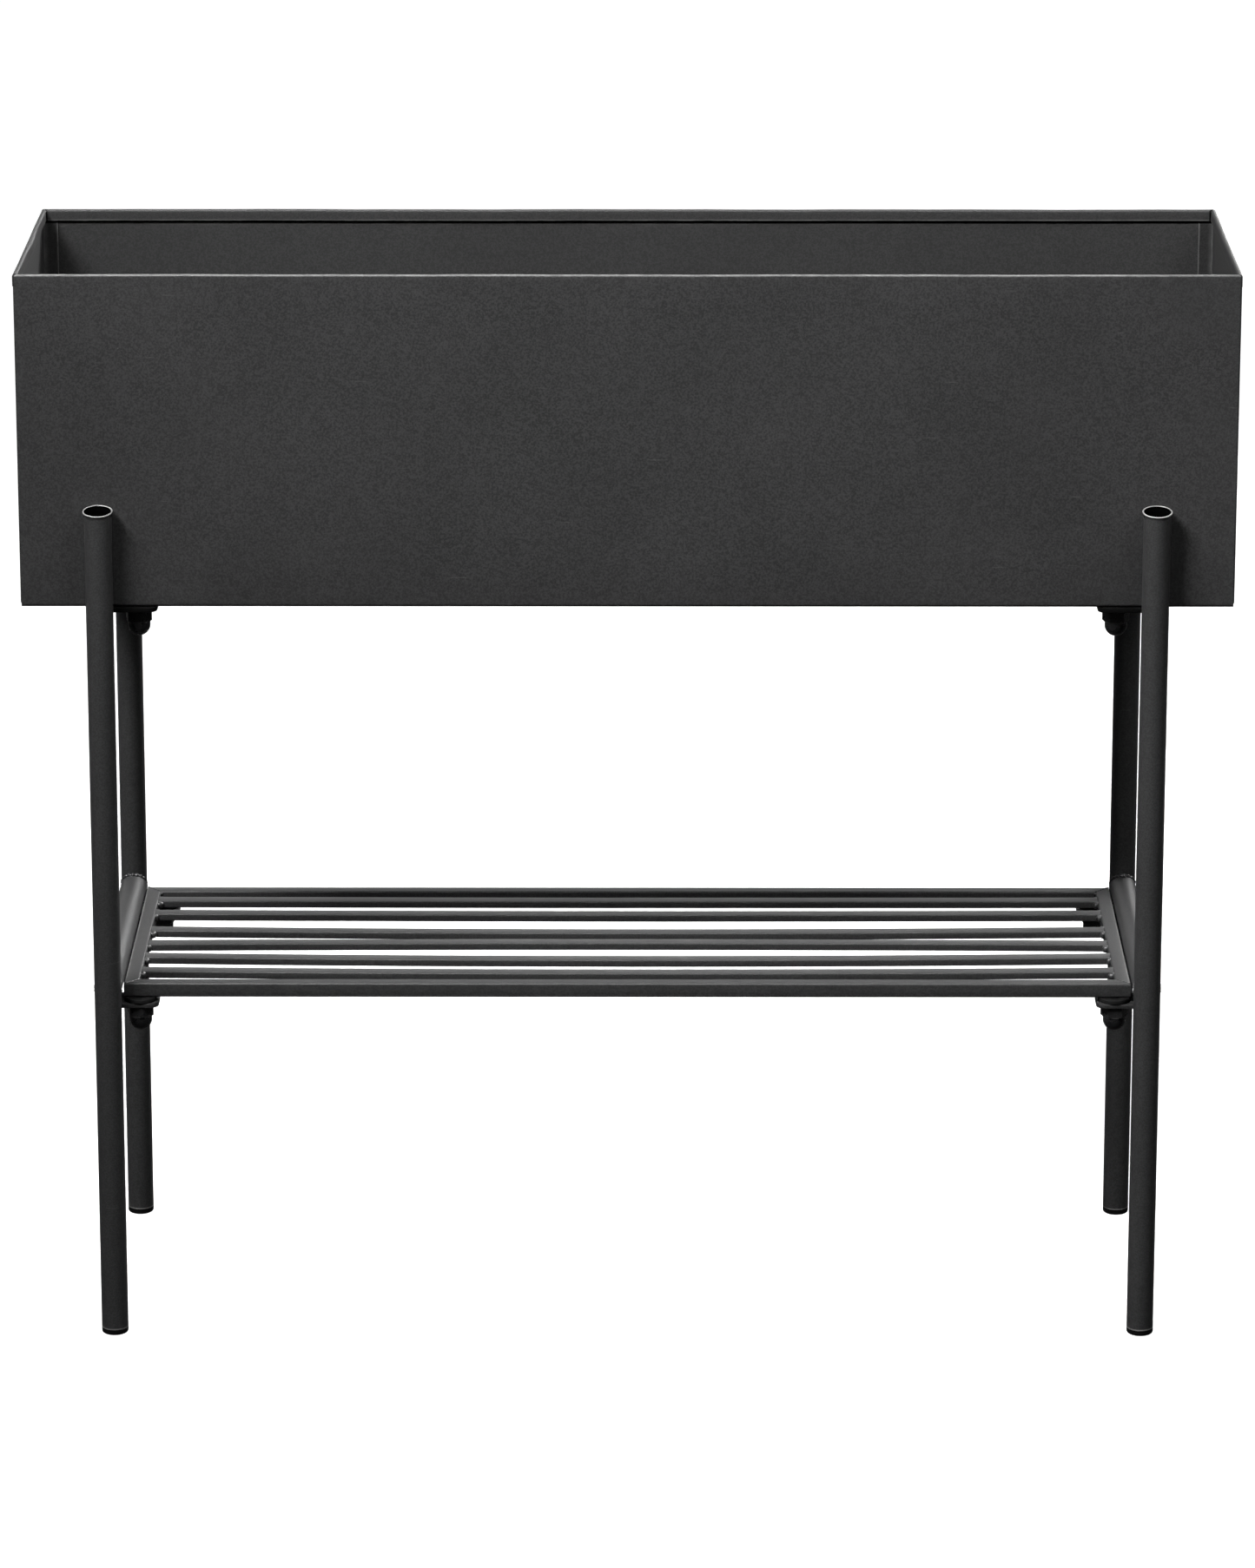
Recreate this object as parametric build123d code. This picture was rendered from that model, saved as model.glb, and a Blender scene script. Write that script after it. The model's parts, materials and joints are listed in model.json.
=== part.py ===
from build123d import *

import os
from math import sqrt

# Raised planter on legs: a folded sheet-steel trough bolted to four round tube legs,
# with a slatted shelf bolted between the legs lower down.
# Millimetres. The origin is the centre of the footprint on the floor.
# X runs along the trough, the front faces -Y and Z is up.

# Driving dimensions
trough_length = 800.0
trough_depth = 212.0
trough_floor_z = 506.0
rim_z = 730.0
overall_depth = 250.0
leg_top_z = 574.0
shelf_top_z = 245.0

# Folded sheet
sheet = 1.2
bend_radius = 2.4
fold_radius = 1.6
hem_height = 7.6
hem_clearance = 0.5
mitre_gap = 0.3
mitre_reach = 6.0
end_flange = 11.0
end_bend_radius = 2.0
wrap_setback = 0.8

# Tubes
tube_radius = 9.0
tube_wall = 1.0
leg_x = 347.0
leg_y = overall_depth / 2 - tube_radius
cross_tube_z = 244.0
plug_flange = 4.0
plug_edge_radius = 1.5
plug_stem_radius = 7.6
plug_stem_length = 14.0
plug_rib_radius = 7.95
plug_rib_width = 1.6
plug_rib_count = 3

# Tabs welded to the legs
tab_thickness = 3.0
tab_outer_x = 350.0
tab_corner_radius = 6.0
trough_tab_inner_x = 310.0
trough_tab_span_y = (81.0, 109.0)
shelf_tab_inner_x = 314.0
shelf_tab_span_y = (86.0, 111.0)

# Shelf
shelf_half_length = 337.0
shelf_depth = 212.0
rail = 10.0
rail_wall = 1.0
rail_corner_radius = 1.2
slat_count = 6
slat_pitch = 30.0
slat_width = 10.0
slat_height = 5.0
slat_edge_radius = 0.8

# M10 fasteners
shank_radius = 4.95
clearance_hole_radius = 5.5
nut_flats = 16.0
nut_hex_height = 8.0
nut_dome_radius = 7.5
nut_height = 18.0
nut_chamfer = 0.8
nut_bore_radius = 5.0
nut_bore_depth = 13.0
washer_radius = 9.0
washer_thickness = 1.6
spacer_radius = 11.0
spacer_thickness = 3.0
head_radius = 10.0
head_height = 5.0
head_socket_flats = 6.0
head_socket_depth = 2.5
thread_engagement = 11.0
trough_bolt_x = 323.0
trough_bolt_y = 93.0
shelf_stud_x = 326.5
shelf_stud_y = (shelf_depth - rail) / 2

SIDES = (("left", -1), ("right", 1))
ENDS = (("front", -1), ("rear", 1))
CORNERS = [(f"{end}_{side}", sx, sy) for end, sy in ENDS for side, sx in SIDES]


def band(x, y, radius, width, height, align):
    """The part of a bent sheet's ring section that lies in a rectangle at its centre."""
    ring = Circle(radius) - Circle(radius - sheet)
    return Pos(x, y) * (ring & Rectangle(width, height, align=align))


def bar(x0, x1, y0, y1):
    """A rectangle between two X and two Y values."""
    return Pos((x0 + x1) / 2, (y0 + y1) / 2) * Rectangle(x1 - x0, y1 - y0)


def block(x0, x1, y0, y1, z0, z1):
    """A box between two values on each axis."""
    centre = Pos((x0 + x1) / 2, (y0 + y1) / 2, (z0 + z1) / 2)
    return centre * Box(x1 - x0, y1 - y0, z1 - z0)


def rod(x, y, z0, z1, radius):
    """An upright cylinder from z0 to z1."""
    return Pos(x, y, z0) * Cylinder(radius, z1 - z0, align=(Align.CENTER, Align.CENTER, Align.MIN))


def hex_prism(flats, height):
    """An upright hexagonal prism that stands on Z 0."""
    return extrude(RegularPolygon(flats / sqrt(3), 6), height)


def folded_rim(face, wall_foot):
    """The section of a wall with its hem, on the -X side: the outer face at X face, inside towards +X."""
    top = rim_z - fold_radius
    inner = face + 2 * fold_radius
    wall = bar(face, face + sheet, wall_foot, top)
    upper_half = (Align.CENTER, Align.MIN)
    fold = band(face + fold_radius, top, fold_radius, 2 * fold_radius, fold_radius, upper_half)
    hem = bar(inner - sheet, inner, rim_z - hem_height, top)
    return wall + fold + hem


def mitre_cut(sx, sy, along_x):
    """The wedge that trims one hem back to the 45 degree line at a corner of the rim."""
    near = -1.0
    far = mitre_reach
    outline = [
        (near, near),
        (near + mitre_gap, near),
        (far + mitre_gap, far),
        (near, far),
    ]
    points = [(a, b) if along_x else (b, a) for a, b in outline]
    corners = [(sx * (trough_length / 2 - a), sy * (trough_depth / 2 - b)) for a, b in points]
    low = rim_z - hem_height - hem_clearance
    wedge = Pos(0, 0, low) * make_face(Polyline(*corners, close=True))
    return extrude(wedge, hem_height + 2 * hem_clearance, dir=(0, 0, 1))


def trough_wrap():
    """Front, floor and back of the trough, bent from one sheet, with a hem on each long rim."""
    face = -trough_depth / 2
    floor_top = trough_floor_z + sheet
    foot = trough_floor_z + bend_radius
    bend = band(face + bend_radius, foot, bend_radius, bend_radius, bend_radius, (Align.MAX, Align.MAX))
    half = folded_rim(face, foot) + bend + bar(face + bend_radius, 0, trough_floor_z, floor_top)
    section = half + mirror(half, about=Plane.YZ)
    body = extrude(Plane.YZ * section, trough_length / 2 - wrap_setback, both=True)
    for _, sx, sy in CORNERS:
        body -= mitre_cut(sx, sy, True)
        hole = (sx * trough_bolt_x, sy * trough_bolt_y)
        body -= rod(*hole, trough_floor_z - sheet, floor_top + sheet, clearance_hole_radius)
    return body


def pan_edges(body):
    """The edges of a block where a pan's sheet bends: round its +X face but the top, and along its foot."""
    face = body.faces().sort_by(Axis.X)[-1]
    around = face.edges().sort_by(Axis.Z)[:-1]
    along_foot = body.edges().filter_by(Axis.X).group_by(Axis.Z)[0]
    return around + along_foot


def trough_end(sx):
    """One end of the trough: a pan with flanges inside the wrap and a hem along its rim."""
    half_width = trough_depth / 2 - sheet
    pan_top = rim_z - hem_height - hem_clearance
    outer_x = trough_length / 2
    floor_top = trough_floor_z + sheet
    outer = block(outer_x - end_flange, outer_x, -half_width, half_width, floor_top, pan_top)
    outer = fillet(pan_edges(outer), end_bend_radius)
    inner_half_width = half_width - sheet
    inner = block(
        outer_x - end_flange - sheet,
        outer_x - sheet,
        -inner_half_width,
        inner_half_width,
        floor_top + sheet,
        pan_top + sheet,
    )
    inner = fillet(pan_edges(inner), end_bend_radius - sheet)
    rim = mirror(folded_rim(-outer_x, pan_top), about=Plane.YZ)
    body = (outer - inner) + extrude(Plane.XZ * rim, half_width, both=True)
    for sy in (-1, 1):
        body -= mitre_cut(1, sy, False)
    return body if sx > 0 else mirror(body, about=Plane.YZ)


def leg(x, y):
    """A round tube leg, open at the top and closed by a plug at the foot."""
    outer = rod(x, y, plug_flange, leg_top_z, tube_radius)
    return outer - rod(x, y, plug_flange, leg_top_z, tube_radius - tube_wall)


def foot_plug(x, y):
    """A ribbed insert with a rounded flange that the planter stands on."""
    flange = rod(x, y, 0, plug_flange, tube_radius)
    flange = fillet(flange.edges().group_by(Axis.Z)[0], plug_edge_radius)
    plug = flange + rod(x, y, plug_flange, plug_flange + plug_stem_length, plug_stem_radius)
    rib_pitch = plug_stem_length / plug_rib_count
    for i in range(plug_rib_count):
        z = plug_flange + (i + 0.5) * rib_pitch - plug_rib_width / 2
        plug += rod(x, y, z, z + plug_rib_width, plug_rib_radius)
    return plug


def cross_tube(x):
    """A round tube between the front and rear legs of one side, coped to fit them."""
    ring = Circle(tube_radius) - Circle(tube_radius - tube_wall)
    body = extrude(Plane.XZ * (Pos(x, cross_tube_z) * ring), leg_y, both=True)
    for _, sy in ENDS:
        body -= rod(x, sy * leg_y, 0, leg_top_z, tube_radius)
    return body


def tab(sx, sy, top_z, inner_x, span_y, hole_x, hole_y):
    """A flat tab welded to a leg's inner side, with its free corners rounded."""
    plate = bar(inner_x, tab_outer_x, *span_y)
    plate = fillet(plate.vertices().group_by(Axis.X)[0], tab_corner_radius)
    plate -= Pos(hole_x, hole_y) * Circle(clearance_hole_radius)
    body = extrude(Pos(0, 0, top_z - tab_thickness) * plate, tab_thickness)
    body -= rod(leg_x, leg_y, 0, leg_top_z, tube_radius)
    body = body if sx > 0 else mirror(body, about=Plane.YZ)
    return body if sy > 0 else mirror(body, about=Plane.XZ)


def rail_section():
    """The square tube section of the shelf's frame, centred on the origin."""
    inner = rail - 2 * rail_wall
    inner_corner = rail_corner_radius - rail_wall
    return RectangleRounded(rail, rail, rail_corner_radius) - RectangleRounded(inner, inner, inner_corner)


def corner_triangle(half_base, depth, plane_z):
    """A plan triangle on the -Y side, from the frame's outer corners to past its middle."""
    points = [
        (-half_base, -depth),
        (half_base, -depth),
        (half_base - rail, rail - depth),
        (rail - half_base, rail - depth),
    ]
    return Pos(0, 0, plane_z) * make_face(Polyline(*points, close=True))


def shelf_rail_long(sy):
    """The front or rear rail of the shelf, mitred at both ends."""
    z = shelf_top_z - rail / 2
    half_depth = shelf_depth / 2
    tube = extrude(Plane.YZ * (Pos(rail / 2 - half_depth, z) * rail_section()), shelf_half_length, both=True)
    keep = extrude(corner_triangle(shelf_half_length, half_depth, z - rail), 2 * rail)
    body = tube & keep
    return body if sy < 0 else mirror(body, about=Plane.XZ)


def shelf_rail_short(sx):
    """The left or right rail of the shelf, mitred at both ends."""
    z = shelf_top_z - rail / 2
    half_depth = shelf_depth / 2
    tube = extrude(Plane.XZ * (Pos(rail / 2 - shelf_half_length, z) * rail_section()), half_depth, both=True)
    keep = extrude(corner_triangle(half_depth, shelf_half_length, z - rail), 2 * rail)
    body = tube & (Rot(0, 0, -90) * keep)
    return body if sx < 0 else mirror(body, about=Plane.YZ)


def shelf_slat(index):
    """One flat bar across the shelf, flush with the top of the rails. Index 0 is at the front."""
    y = (index - (slat_count - 1) / 2) * slat_pitch
    section = RectangleRounded(slat_width, slat_height, slat_edge_radius)
    placed = Plane.YZ * (Pos(y, shelf_top_z - slat_height / 2) * section)
    return extrude(placed, shelf_half_length - rail, both=True)


def truss_bolt(x, y, under_head_z, tip_z):
    """A bolt with a low domed head and a hexagon socket, head up."""
    ball_radius = (head_radius**2 + head_height**2) / (2 * head_height)
    ball = Pos(x, y, under_head_z + head_height - ball_radius) * Sphere(ball_radius)
    head = ball & rod(x, y, under_head_z, under_head_z + head_height, head_radius)
    socket_z = under_head_z + head_height - head_socket_depth
    head -= Pos(x, y, socket_z) * hex_prism(head_socket_flats, head_socket_depth)
    return head + rod(x, y, tip_z, under_head_z, shank_radius)


def cap_nut(x, y, top_z):
    """A domed cap nut hanging dome down, with its flat face at top_z."""
    hex_z = top_z - nut_hex_height
    corner_radius = nut_flats / sqrt(3)
    blank = rod(0, 0, 0, nut_hex_height, corner_radius)
    blank = chamfer(blank.edges().filter_by(GeomType.CIRCLE), nut_chamfer, 2 * nut_chamfer)
    nut = Pos(x, y, hex_z) * (hex_prism(nut_flats, nut_hex_height) & blank)
    dome_centre = top_z - nut_height + nut_dome_radius
    nut += rod(x, y, dome_centre, hex_z, nut_dome_radius)
    nut += Pos(x, y, dome_centre) * Sphere(nut_dome_radius)
    return nut - rod(x, y, top_z - nut_bore_depth, top_z, nut_bore_radius)


def washer(x, y, z0, thickness, radius):
    """A flat ring around a bolt."""
    return rod(x, y, z0, z0 + thickness, radius) - rod(x, y, z0, z0 + thickness, clearance_hole_radius)


def group(make, x, y):
    """The same fastener at the four corners, as one node of separate solids."""
    return Compound(children=[make(sx * x, sy * y) for _, sx, sy in CORNERS])


os.makedirs("parts", exist_ok=True)

trough_tab_foot = trough_floor_z - tab_thickness
trough_nut_top = trough_tab_foot - washer_thickness
shelf_foot = shelf_top_z - rail
shelf_tab_top = shelf_foot - spacer_thickness
shelf_nut_top = shelf_tab_top - tab_thickness

nodes = {"trough_wrap": trough_wrap()}
for side, sx in SIDES:
    nodes[f"trough_{side}_end"] = trough_end(sx)
    nodes[f"{side}_cross_tube"] = cross_tube(sx * leg_x)
    nodes[f"shelf_{side}_rail"] = shelf_rail_short(sx)
for end, sy in ENDS:
    nodes[f"shelf_{end}_rail"] = shelf_rail_long(sy)
for corner, sx, sy in CORNERS:
    nodes[f"{corner}_leg"] = leg(sx * leg_x, sy * leg_y)
    nodes[f"{corner}_foot_plug"] = foot_plug(sx * leg_x, sy * leg_y)
    nodes[f"{corner}_trough_tab"] = tab(
        sx, sy, trough_floor_z, trough_tab_inner_x, trough_tab_span_y, trough_bolt_x, trough_bolt_y
    )
    nodes[f"{corner}_shelf_tab"] = tab(
        sx, sy, shelf_tab_top, shelf_tab_inner_x, shelf_tab_span_y, shelf_stud_x, shelf_stud_y
    )
for i in range(slat_count):
    nodes[f"shelf_slat_{i + 1}"] = shelf_slat(i)

nodes["trough_bolts"] = group(
    lambda x, y: truss_bolt(x, y, trough_floor_z + sheet, trough_nut_top - thread_engagement),
    trough_bolt_x,
    trough_bolt_y,
)
nodes["trough_washers"] = group(
    lambda x, y: washer(x, y, trough_nut_top, washer_thickness, washer_radius),
    trough_bolt_x,
    trough_bolt_y,
)
nodes["trough_cap_nuts"] = group(
    lambda x, y: cap_nut(x, y, trough_nut_top), trough_bolt_x, trough_bolt_y
)
nodes["shelf_studs"] = group(
    lambda x, y: rod(x, y, shelf_nut_top - thread_engagement, shelf_foot, shank_radius),
    shelf_stud_x,
    shelf_stud_y,
)
nodes["shelf_spacers"] = group(
    lambda x, y: washer(x, y, shelf_tab_top, spacer_thickness, spacer_radius),
    shelf_stud_x,
    shelf_stud_y,
)
nodes["shelf_cap_nuts"] = group(
    lambda x, y: cap_nut(x, y, shelf_nut_top), shelf_stud_x, shelf_stud_y
)

for name, shape in nodes.items():
    export_step(shape, f"parts/{name}.step")
print(len(nodes), "nodes")
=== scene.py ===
"""Looks of a raised planter: a folded steel trough on tube legs with a slatted shelf.

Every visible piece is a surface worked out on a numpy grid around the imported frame, in metres.
"""

import json
import logging
import math
from dataclasses import dataclass, field
from enum import Enum

import bmesh
import bpy
import numpy as np
from mathutils import Euler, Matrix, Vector

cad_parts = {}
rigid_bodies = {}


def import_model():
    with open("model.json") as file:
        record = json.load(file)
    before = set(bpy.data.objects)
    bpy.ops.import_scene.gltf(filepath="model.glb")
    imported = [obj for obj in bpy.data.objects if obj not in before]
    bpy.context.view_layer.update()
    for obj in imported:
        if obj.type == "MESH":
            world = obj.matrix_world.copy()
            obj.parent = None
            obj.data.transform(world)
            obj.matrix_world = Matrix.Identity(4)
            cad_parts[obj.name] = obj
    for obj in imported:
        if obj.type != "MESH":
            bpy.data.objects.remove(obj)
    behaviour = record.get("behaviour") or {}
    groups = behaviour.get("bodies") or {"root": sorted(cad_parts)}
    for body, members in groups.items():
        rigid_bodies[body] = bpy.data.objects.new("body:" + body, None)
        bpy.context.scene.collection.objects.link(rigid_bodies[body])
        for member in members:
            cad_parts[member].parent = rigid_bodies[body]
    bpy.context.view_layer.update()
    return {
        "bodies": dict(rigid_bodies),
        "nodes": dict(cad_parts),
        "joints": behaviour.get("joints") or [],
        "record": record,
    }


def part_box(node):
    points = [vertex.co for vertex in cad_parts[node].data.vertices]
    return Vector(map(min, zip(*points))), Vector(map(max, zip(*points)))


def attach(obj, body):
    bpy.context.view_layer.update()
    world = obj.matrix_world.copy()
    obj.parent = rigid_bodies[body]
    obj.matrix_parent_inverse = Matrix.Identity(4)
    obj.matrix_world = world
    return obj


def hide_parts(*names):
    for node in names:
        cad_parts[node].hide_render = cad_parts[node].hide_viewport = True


LOG = logging.getLogger("planter")
Array = np.ndarray
MM = 0.001
BODY = "root"


class Slot(Enum):
    """The record's material slots."""

    POWDER_COAT = "powder_coat"
    BLACK_FASTENER = "black_fastener"
    FOOT_PLASTIC = "foot_plastic"
    SPACER_RUBBER = "spacer_rubber"


class Side(Enum):
    """Left or right half, as the sign of X."""

    LEFT = -1
    RIGHT = 1


class End(Enum):
    """Front or rear half, as the sign of Y."""

    FRONT = -1
    REAR = 1


@dataclass(frozen=True)
class Corner:
    """One of the four corners, with the words its nodes start with."""

    end: End
    side: Side

    @property
    def name(self) -> str:
        """The corner's words in node names, such as front_left."""
        return f"{self.end.name}_{self.side.name}".lower()

    @property
    def signs(self) -> Array:
        """The corner's signs of X and Y."""
        return np.array([self.side.value, self.end.value], float)


CORNERS = [Corner(end, side) for end in End for side in Side]


@dataclass(frozen=True)
class NodeBox:
    """A CAD node's box in the row frame, in metres."""

    low: Array
    high: Array

    @classmethod
    def of(cls, node: str) -> "NodeBox":
        """Reads a node's box from the frame.

        Args:
            node: The CAD node's name.

        Returns:
            The node's box.
        """
        low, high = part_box(node)
        return cls(np.array(low), np.array(high))

    @property
    def centre(self) -> Array:
        """The middle of the box."""
        return (self.low + self.high) / 2

    @property
    def size(self) -> Array:
        """The box's three side lengths."""
        return self.high - self.low


# ---------------------------------------------------------------- curves and surfaces


def arc(centre: tuple[float, float], radius: float, start: float, stop: float, steps: int) -> Array:
    """Points of a circle's arc: c + r (cos a, sin a) for a from start to stop, in degrees.

    Args:
        centre: The circle's centre in its plane.
        radius: The circle's radius.
        start: The first angle.
        stop: The last angle.
        steps: How many spans the arc has.

    Returns:
        The points, one row each.
    """
    a = np.radians(np.linspace(start, stop, steps + 1))
    return np.stack([centre[0] + radius * np.cos(a), centre[1] + radius * np.sin(a)], 1)


def rounded_box(width: float, height: float, radius: float, steps: int = 4) -> Array:
    """A rectangle's outline with round corners, anticlockwise from its right side.

    Args:
        width: The size along the first axis.
        height: The size along the second axis.
        radius: The corners' radius.
        steps: How many spans each corner has.

    Returns:
        The closed outline's points, with no point repeated.
    """
    w, h = width / 2 - radius, height / 2 - radius
    quarters = [((w, h), 0), ((-w, h), 90), ((-w, -h), 180), ((w, -h), 270)]
    return np.concatenate([arc(c, radius, a, a + 90, steps) for c, a in quarters])


def lathe(profile: Array, centre: Array, steps: int = 72) -> Array:
    """Turns a profile round an upright axis: P(a, t) = (cx + r(t) cos a, cy + r(t) sin a, z(t)).

    Args:
        profile: Rows of radius and height.
        centre: The axis's X and Y.
        steps: How many spans a full turn has.

    Returns:
        The grid of points, closed along its first direction.
    """
    a = np.linspace(0, 2 * math.pi, steps, endpoint=False)[:, None]
    r, z = profile[None, :, 0], profile[None, :, 1]
    x = centre[0] + r * np.cos(a)
    y = centre[1] + r * np.sin(a)
    return np.stack([x, y, np.broadcast_to(z, x.shape)], 2)


def ridge(values: Array, middle: float, width: float) -> Array:
    """A soft bump: 1 at the middle value, falling to 0 at a width's distance on a squared cosine.

    Args:
        values: Where it is read.
        middle: The value at which it peaks.
        width: How far from the middle it reaches 0.

    Returns:
        The bump's height at each value.
    """
    off = np.clip(np.abs(values - middle) / width, 0, 1)
    return np.cos(off * math.pi / 2) ** 2


def smooth_step(t: Array) -> Array:
    """0 below 0, 1 above 1 and 3t^2 - 2t^3 between."""
    t = np.clip(t, 0, 1)
    return t * t * (3 - 2 * t)


def waver(t: Array, length: float, phase: float) -> Array:
    """A hand-made line's slow unevenness, from -1 to 1: three sines whose lengths don't divide each other.

    Args:
        t: Places along the line.
        length: The longest wave's length.
        phase: Where the waves start, so that two lines differ.

    Returns:
        The unevenness at each place.
    """
    w = 2 * math.pi * t / length
    slow, middle, quick = np.sin(w + phase), np.sin(2.3 * w + 2 * phase), np.sin(5.1 * w + 3 * phase)
    return (slow + 0.6 * middle + 0.35 * quick) / 1.95


def frames(path: Array) -> tuple[Array, Array]:
    """Two unit vectors across a path at each point: level, and square to the level one and the path.

    Args:
        path: Rows of points. A path that stands upright takes X as its level direction.

    Returns:
        The level vectors and the other ones.
    """
    along = np.gradient(path, axis=0)
    along /= np.linalg.norm(along, axis=1)[:, None]
    level = np.cross(along, [0.0, 0.0, 1.0])
    upright = np.linalg.norm(level, axis=1) < 1e-6
    level[upright] = [1.0, 0.0, 0.0]
    level /= np.linalg.norm(level, axis=1)[:, None]
    return level, np.cross(level, along)


def weld_run(
    path: Array, radius: float, pitch: float, phase: float, closed: bool, steps: int = 10
) -> Array:
    """A weld bead's surface: a round cord whose radius swells once for each puddle.

    P(t, a) = path(t) + r(t) (level cos a + upper sin a), with r = R (1 + 0.16 sin(2 pi s / pitch))
    where s is the length run, and R falls to 0 at the ends as a circle does.

    Args:
        path: Rows of points along the bead's middle.
        radius: The bead's radius.
        pitch: The length of one puddle.
        phase: Where the ripple starts.
        closed: Whether the bead joins itself.
        steps: How many spans go round the bead.

    Returns:
        The grid of points, closed along its second direction.
    """
    if closed:
        ring = np.concatenate([path[-1:], path, path[:1]])
        level, upper = (v[1:-1] for v in frames(ring))
    else:
        level, upper = frames(path)
    run = np.concatenate([[0.0], np.cumsum(np.linalg.norm(np.diff(path, axis=0), axis=1))])
    size = radius * (1 + 0.16 * np.sin(2 * math.pi * run / pitch + phase))
    if not closed:
        near_end = np.clip(np.minimum(run, run[-1] - run) / (1.2 * radius), 0, 1)
        size = size * np.sqrt(1 - (1 - near_end) ** 2)
    a = np.linspace(0, 2 * math.pi, steps, endpoint=False)[None, :, None]
    return path[:, None] + size[:, None, None] * (level[:, None] * np.cos(a) + upper[:, None] * np.sin(a))


@dataclass
class Skin:
    """Grids of points gathered into one closed mesh."""

    points: list[Array] = field(default_factory=list)
    faces: list[list[int]] = field(default_factory=list)
    count: int = 0

    def grid(self, points: Array, close_u: bool = False, close_v: bool = False) -> "Skin":
        """Adds a surface given on a grid.

        Args:
            points: The grid, shaped (rows, columns, 3).
            close_u: Whether the last row joins the first.
            close_v: Whether the last column joins the first.

        Returns:
            This skin.
        """
        rows, columns = points.shape[:2]
        index = np.arange(rows * columns).reshape(rows, columns) + self.count
        if close_u:
            index = np.concatenate([index, index[:1]])
        if close_v:
            index = np.concatenate([index, index[:, :1]], 1)
        quads = np.stack([index[:-1, :-1], index[1:, :-1], index[1:, 1:], index[:-1, 1:]], 2)
        self.points.append(points.reshape(-1, 3))
        self.faces.extend(quads.reshape(-1, 4).tolist())
        self.count += rows * columns
        return self

    def cap(self, ring: Array) -> "Skin":
        """Closes a ring with a fan of triangles to its mean point.

        Args:
            ring: The ring's points, none repeated.

        Returns:
            This skin.
        """
        middle = np.broadcast_to(ring.mean(0), ring.shape)
        return self.grid(np.stack([ring, middle]), close_v=True)

    def solid(self, rings: Array) -> "Skin":
        """Adds a bar: a stack of rings with both ends closed.

        Args:
            rings: The grid, one ring a row.

        Returns:
            This skin.
        """
        return self.grid(rings, close_v=True).cap(rings[0]).cap(rings[-1])

    def build(self, name: str, sharp_degrees: float = 38.0) -> bpy.types.Object:
        """Makes the object: seams merged, faces outwards, smooth except at sharp edges.

        Args:
            name: The object's name.
            sharp_degrees: Edges that turn more than this stay sharp.

        Returns:
            The object, at the origin.
        """
        mesh = bpy.data.meshes.new(name)
        mesh.from_pydata(np.concatenate(self.points).tolist(), [], self.faces)
        work = bmesh.new()
        work.from_mesh(mesh)
        bmesh.ops.remove_doubles(work, verts=work.verts, dist=2e-6)
        bmesh.ops.dissolve_degenerate(work, edges=work.edges, dist=1e-7)
        bmesh.ops.recalc_face_normals(work, faces=work.faces)
        work.to_mesh(mesh)
        work.free()
        mesh.polygons.foreach_set("use_smooth", np.ones(len(mesh.polygons), bool))
        mesh.set_sharp_from_angle(angle=math.radians(sharp_degrees))
        piece = bpy.data.objects.new(name, mesh)
        bpy.context.scene.collection.objects.link(piece)
        return piece


def points_of(mesh: bpy.types.Mesh) -> Array:
    """A mesh's points.

    Args:
        mesh: The mesh.

    Returns:
        Rows of X, Y and Z.
    """
    co = np.zeros(len(mesh.vertices) * 3, np.float32)
    mesh.vertices.foreach_get("co", co)
    return co.reshape(-1, 3).astype(float)


def mark(piece: bpy.types.Object, name: str, share: Array) -> None:
    """Stores a share for each point, for the coat to read.

    Args:
        piece: The piece.
        name: What it is a share of: the pale share, a painted highlight (rubbed wear at the legs' feet), or
            the dark share, painted shade.
        share: The share at each point. It is held between 0 and 1.
    """
    layer = piece.data.attributes.new(name, "FLOAT", "POINT")
    layer.data.foreach_set("value", np.clip(share, 0, 1).astype(np.float32))


# ---------------------------------------------------------------- finishes


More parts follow.
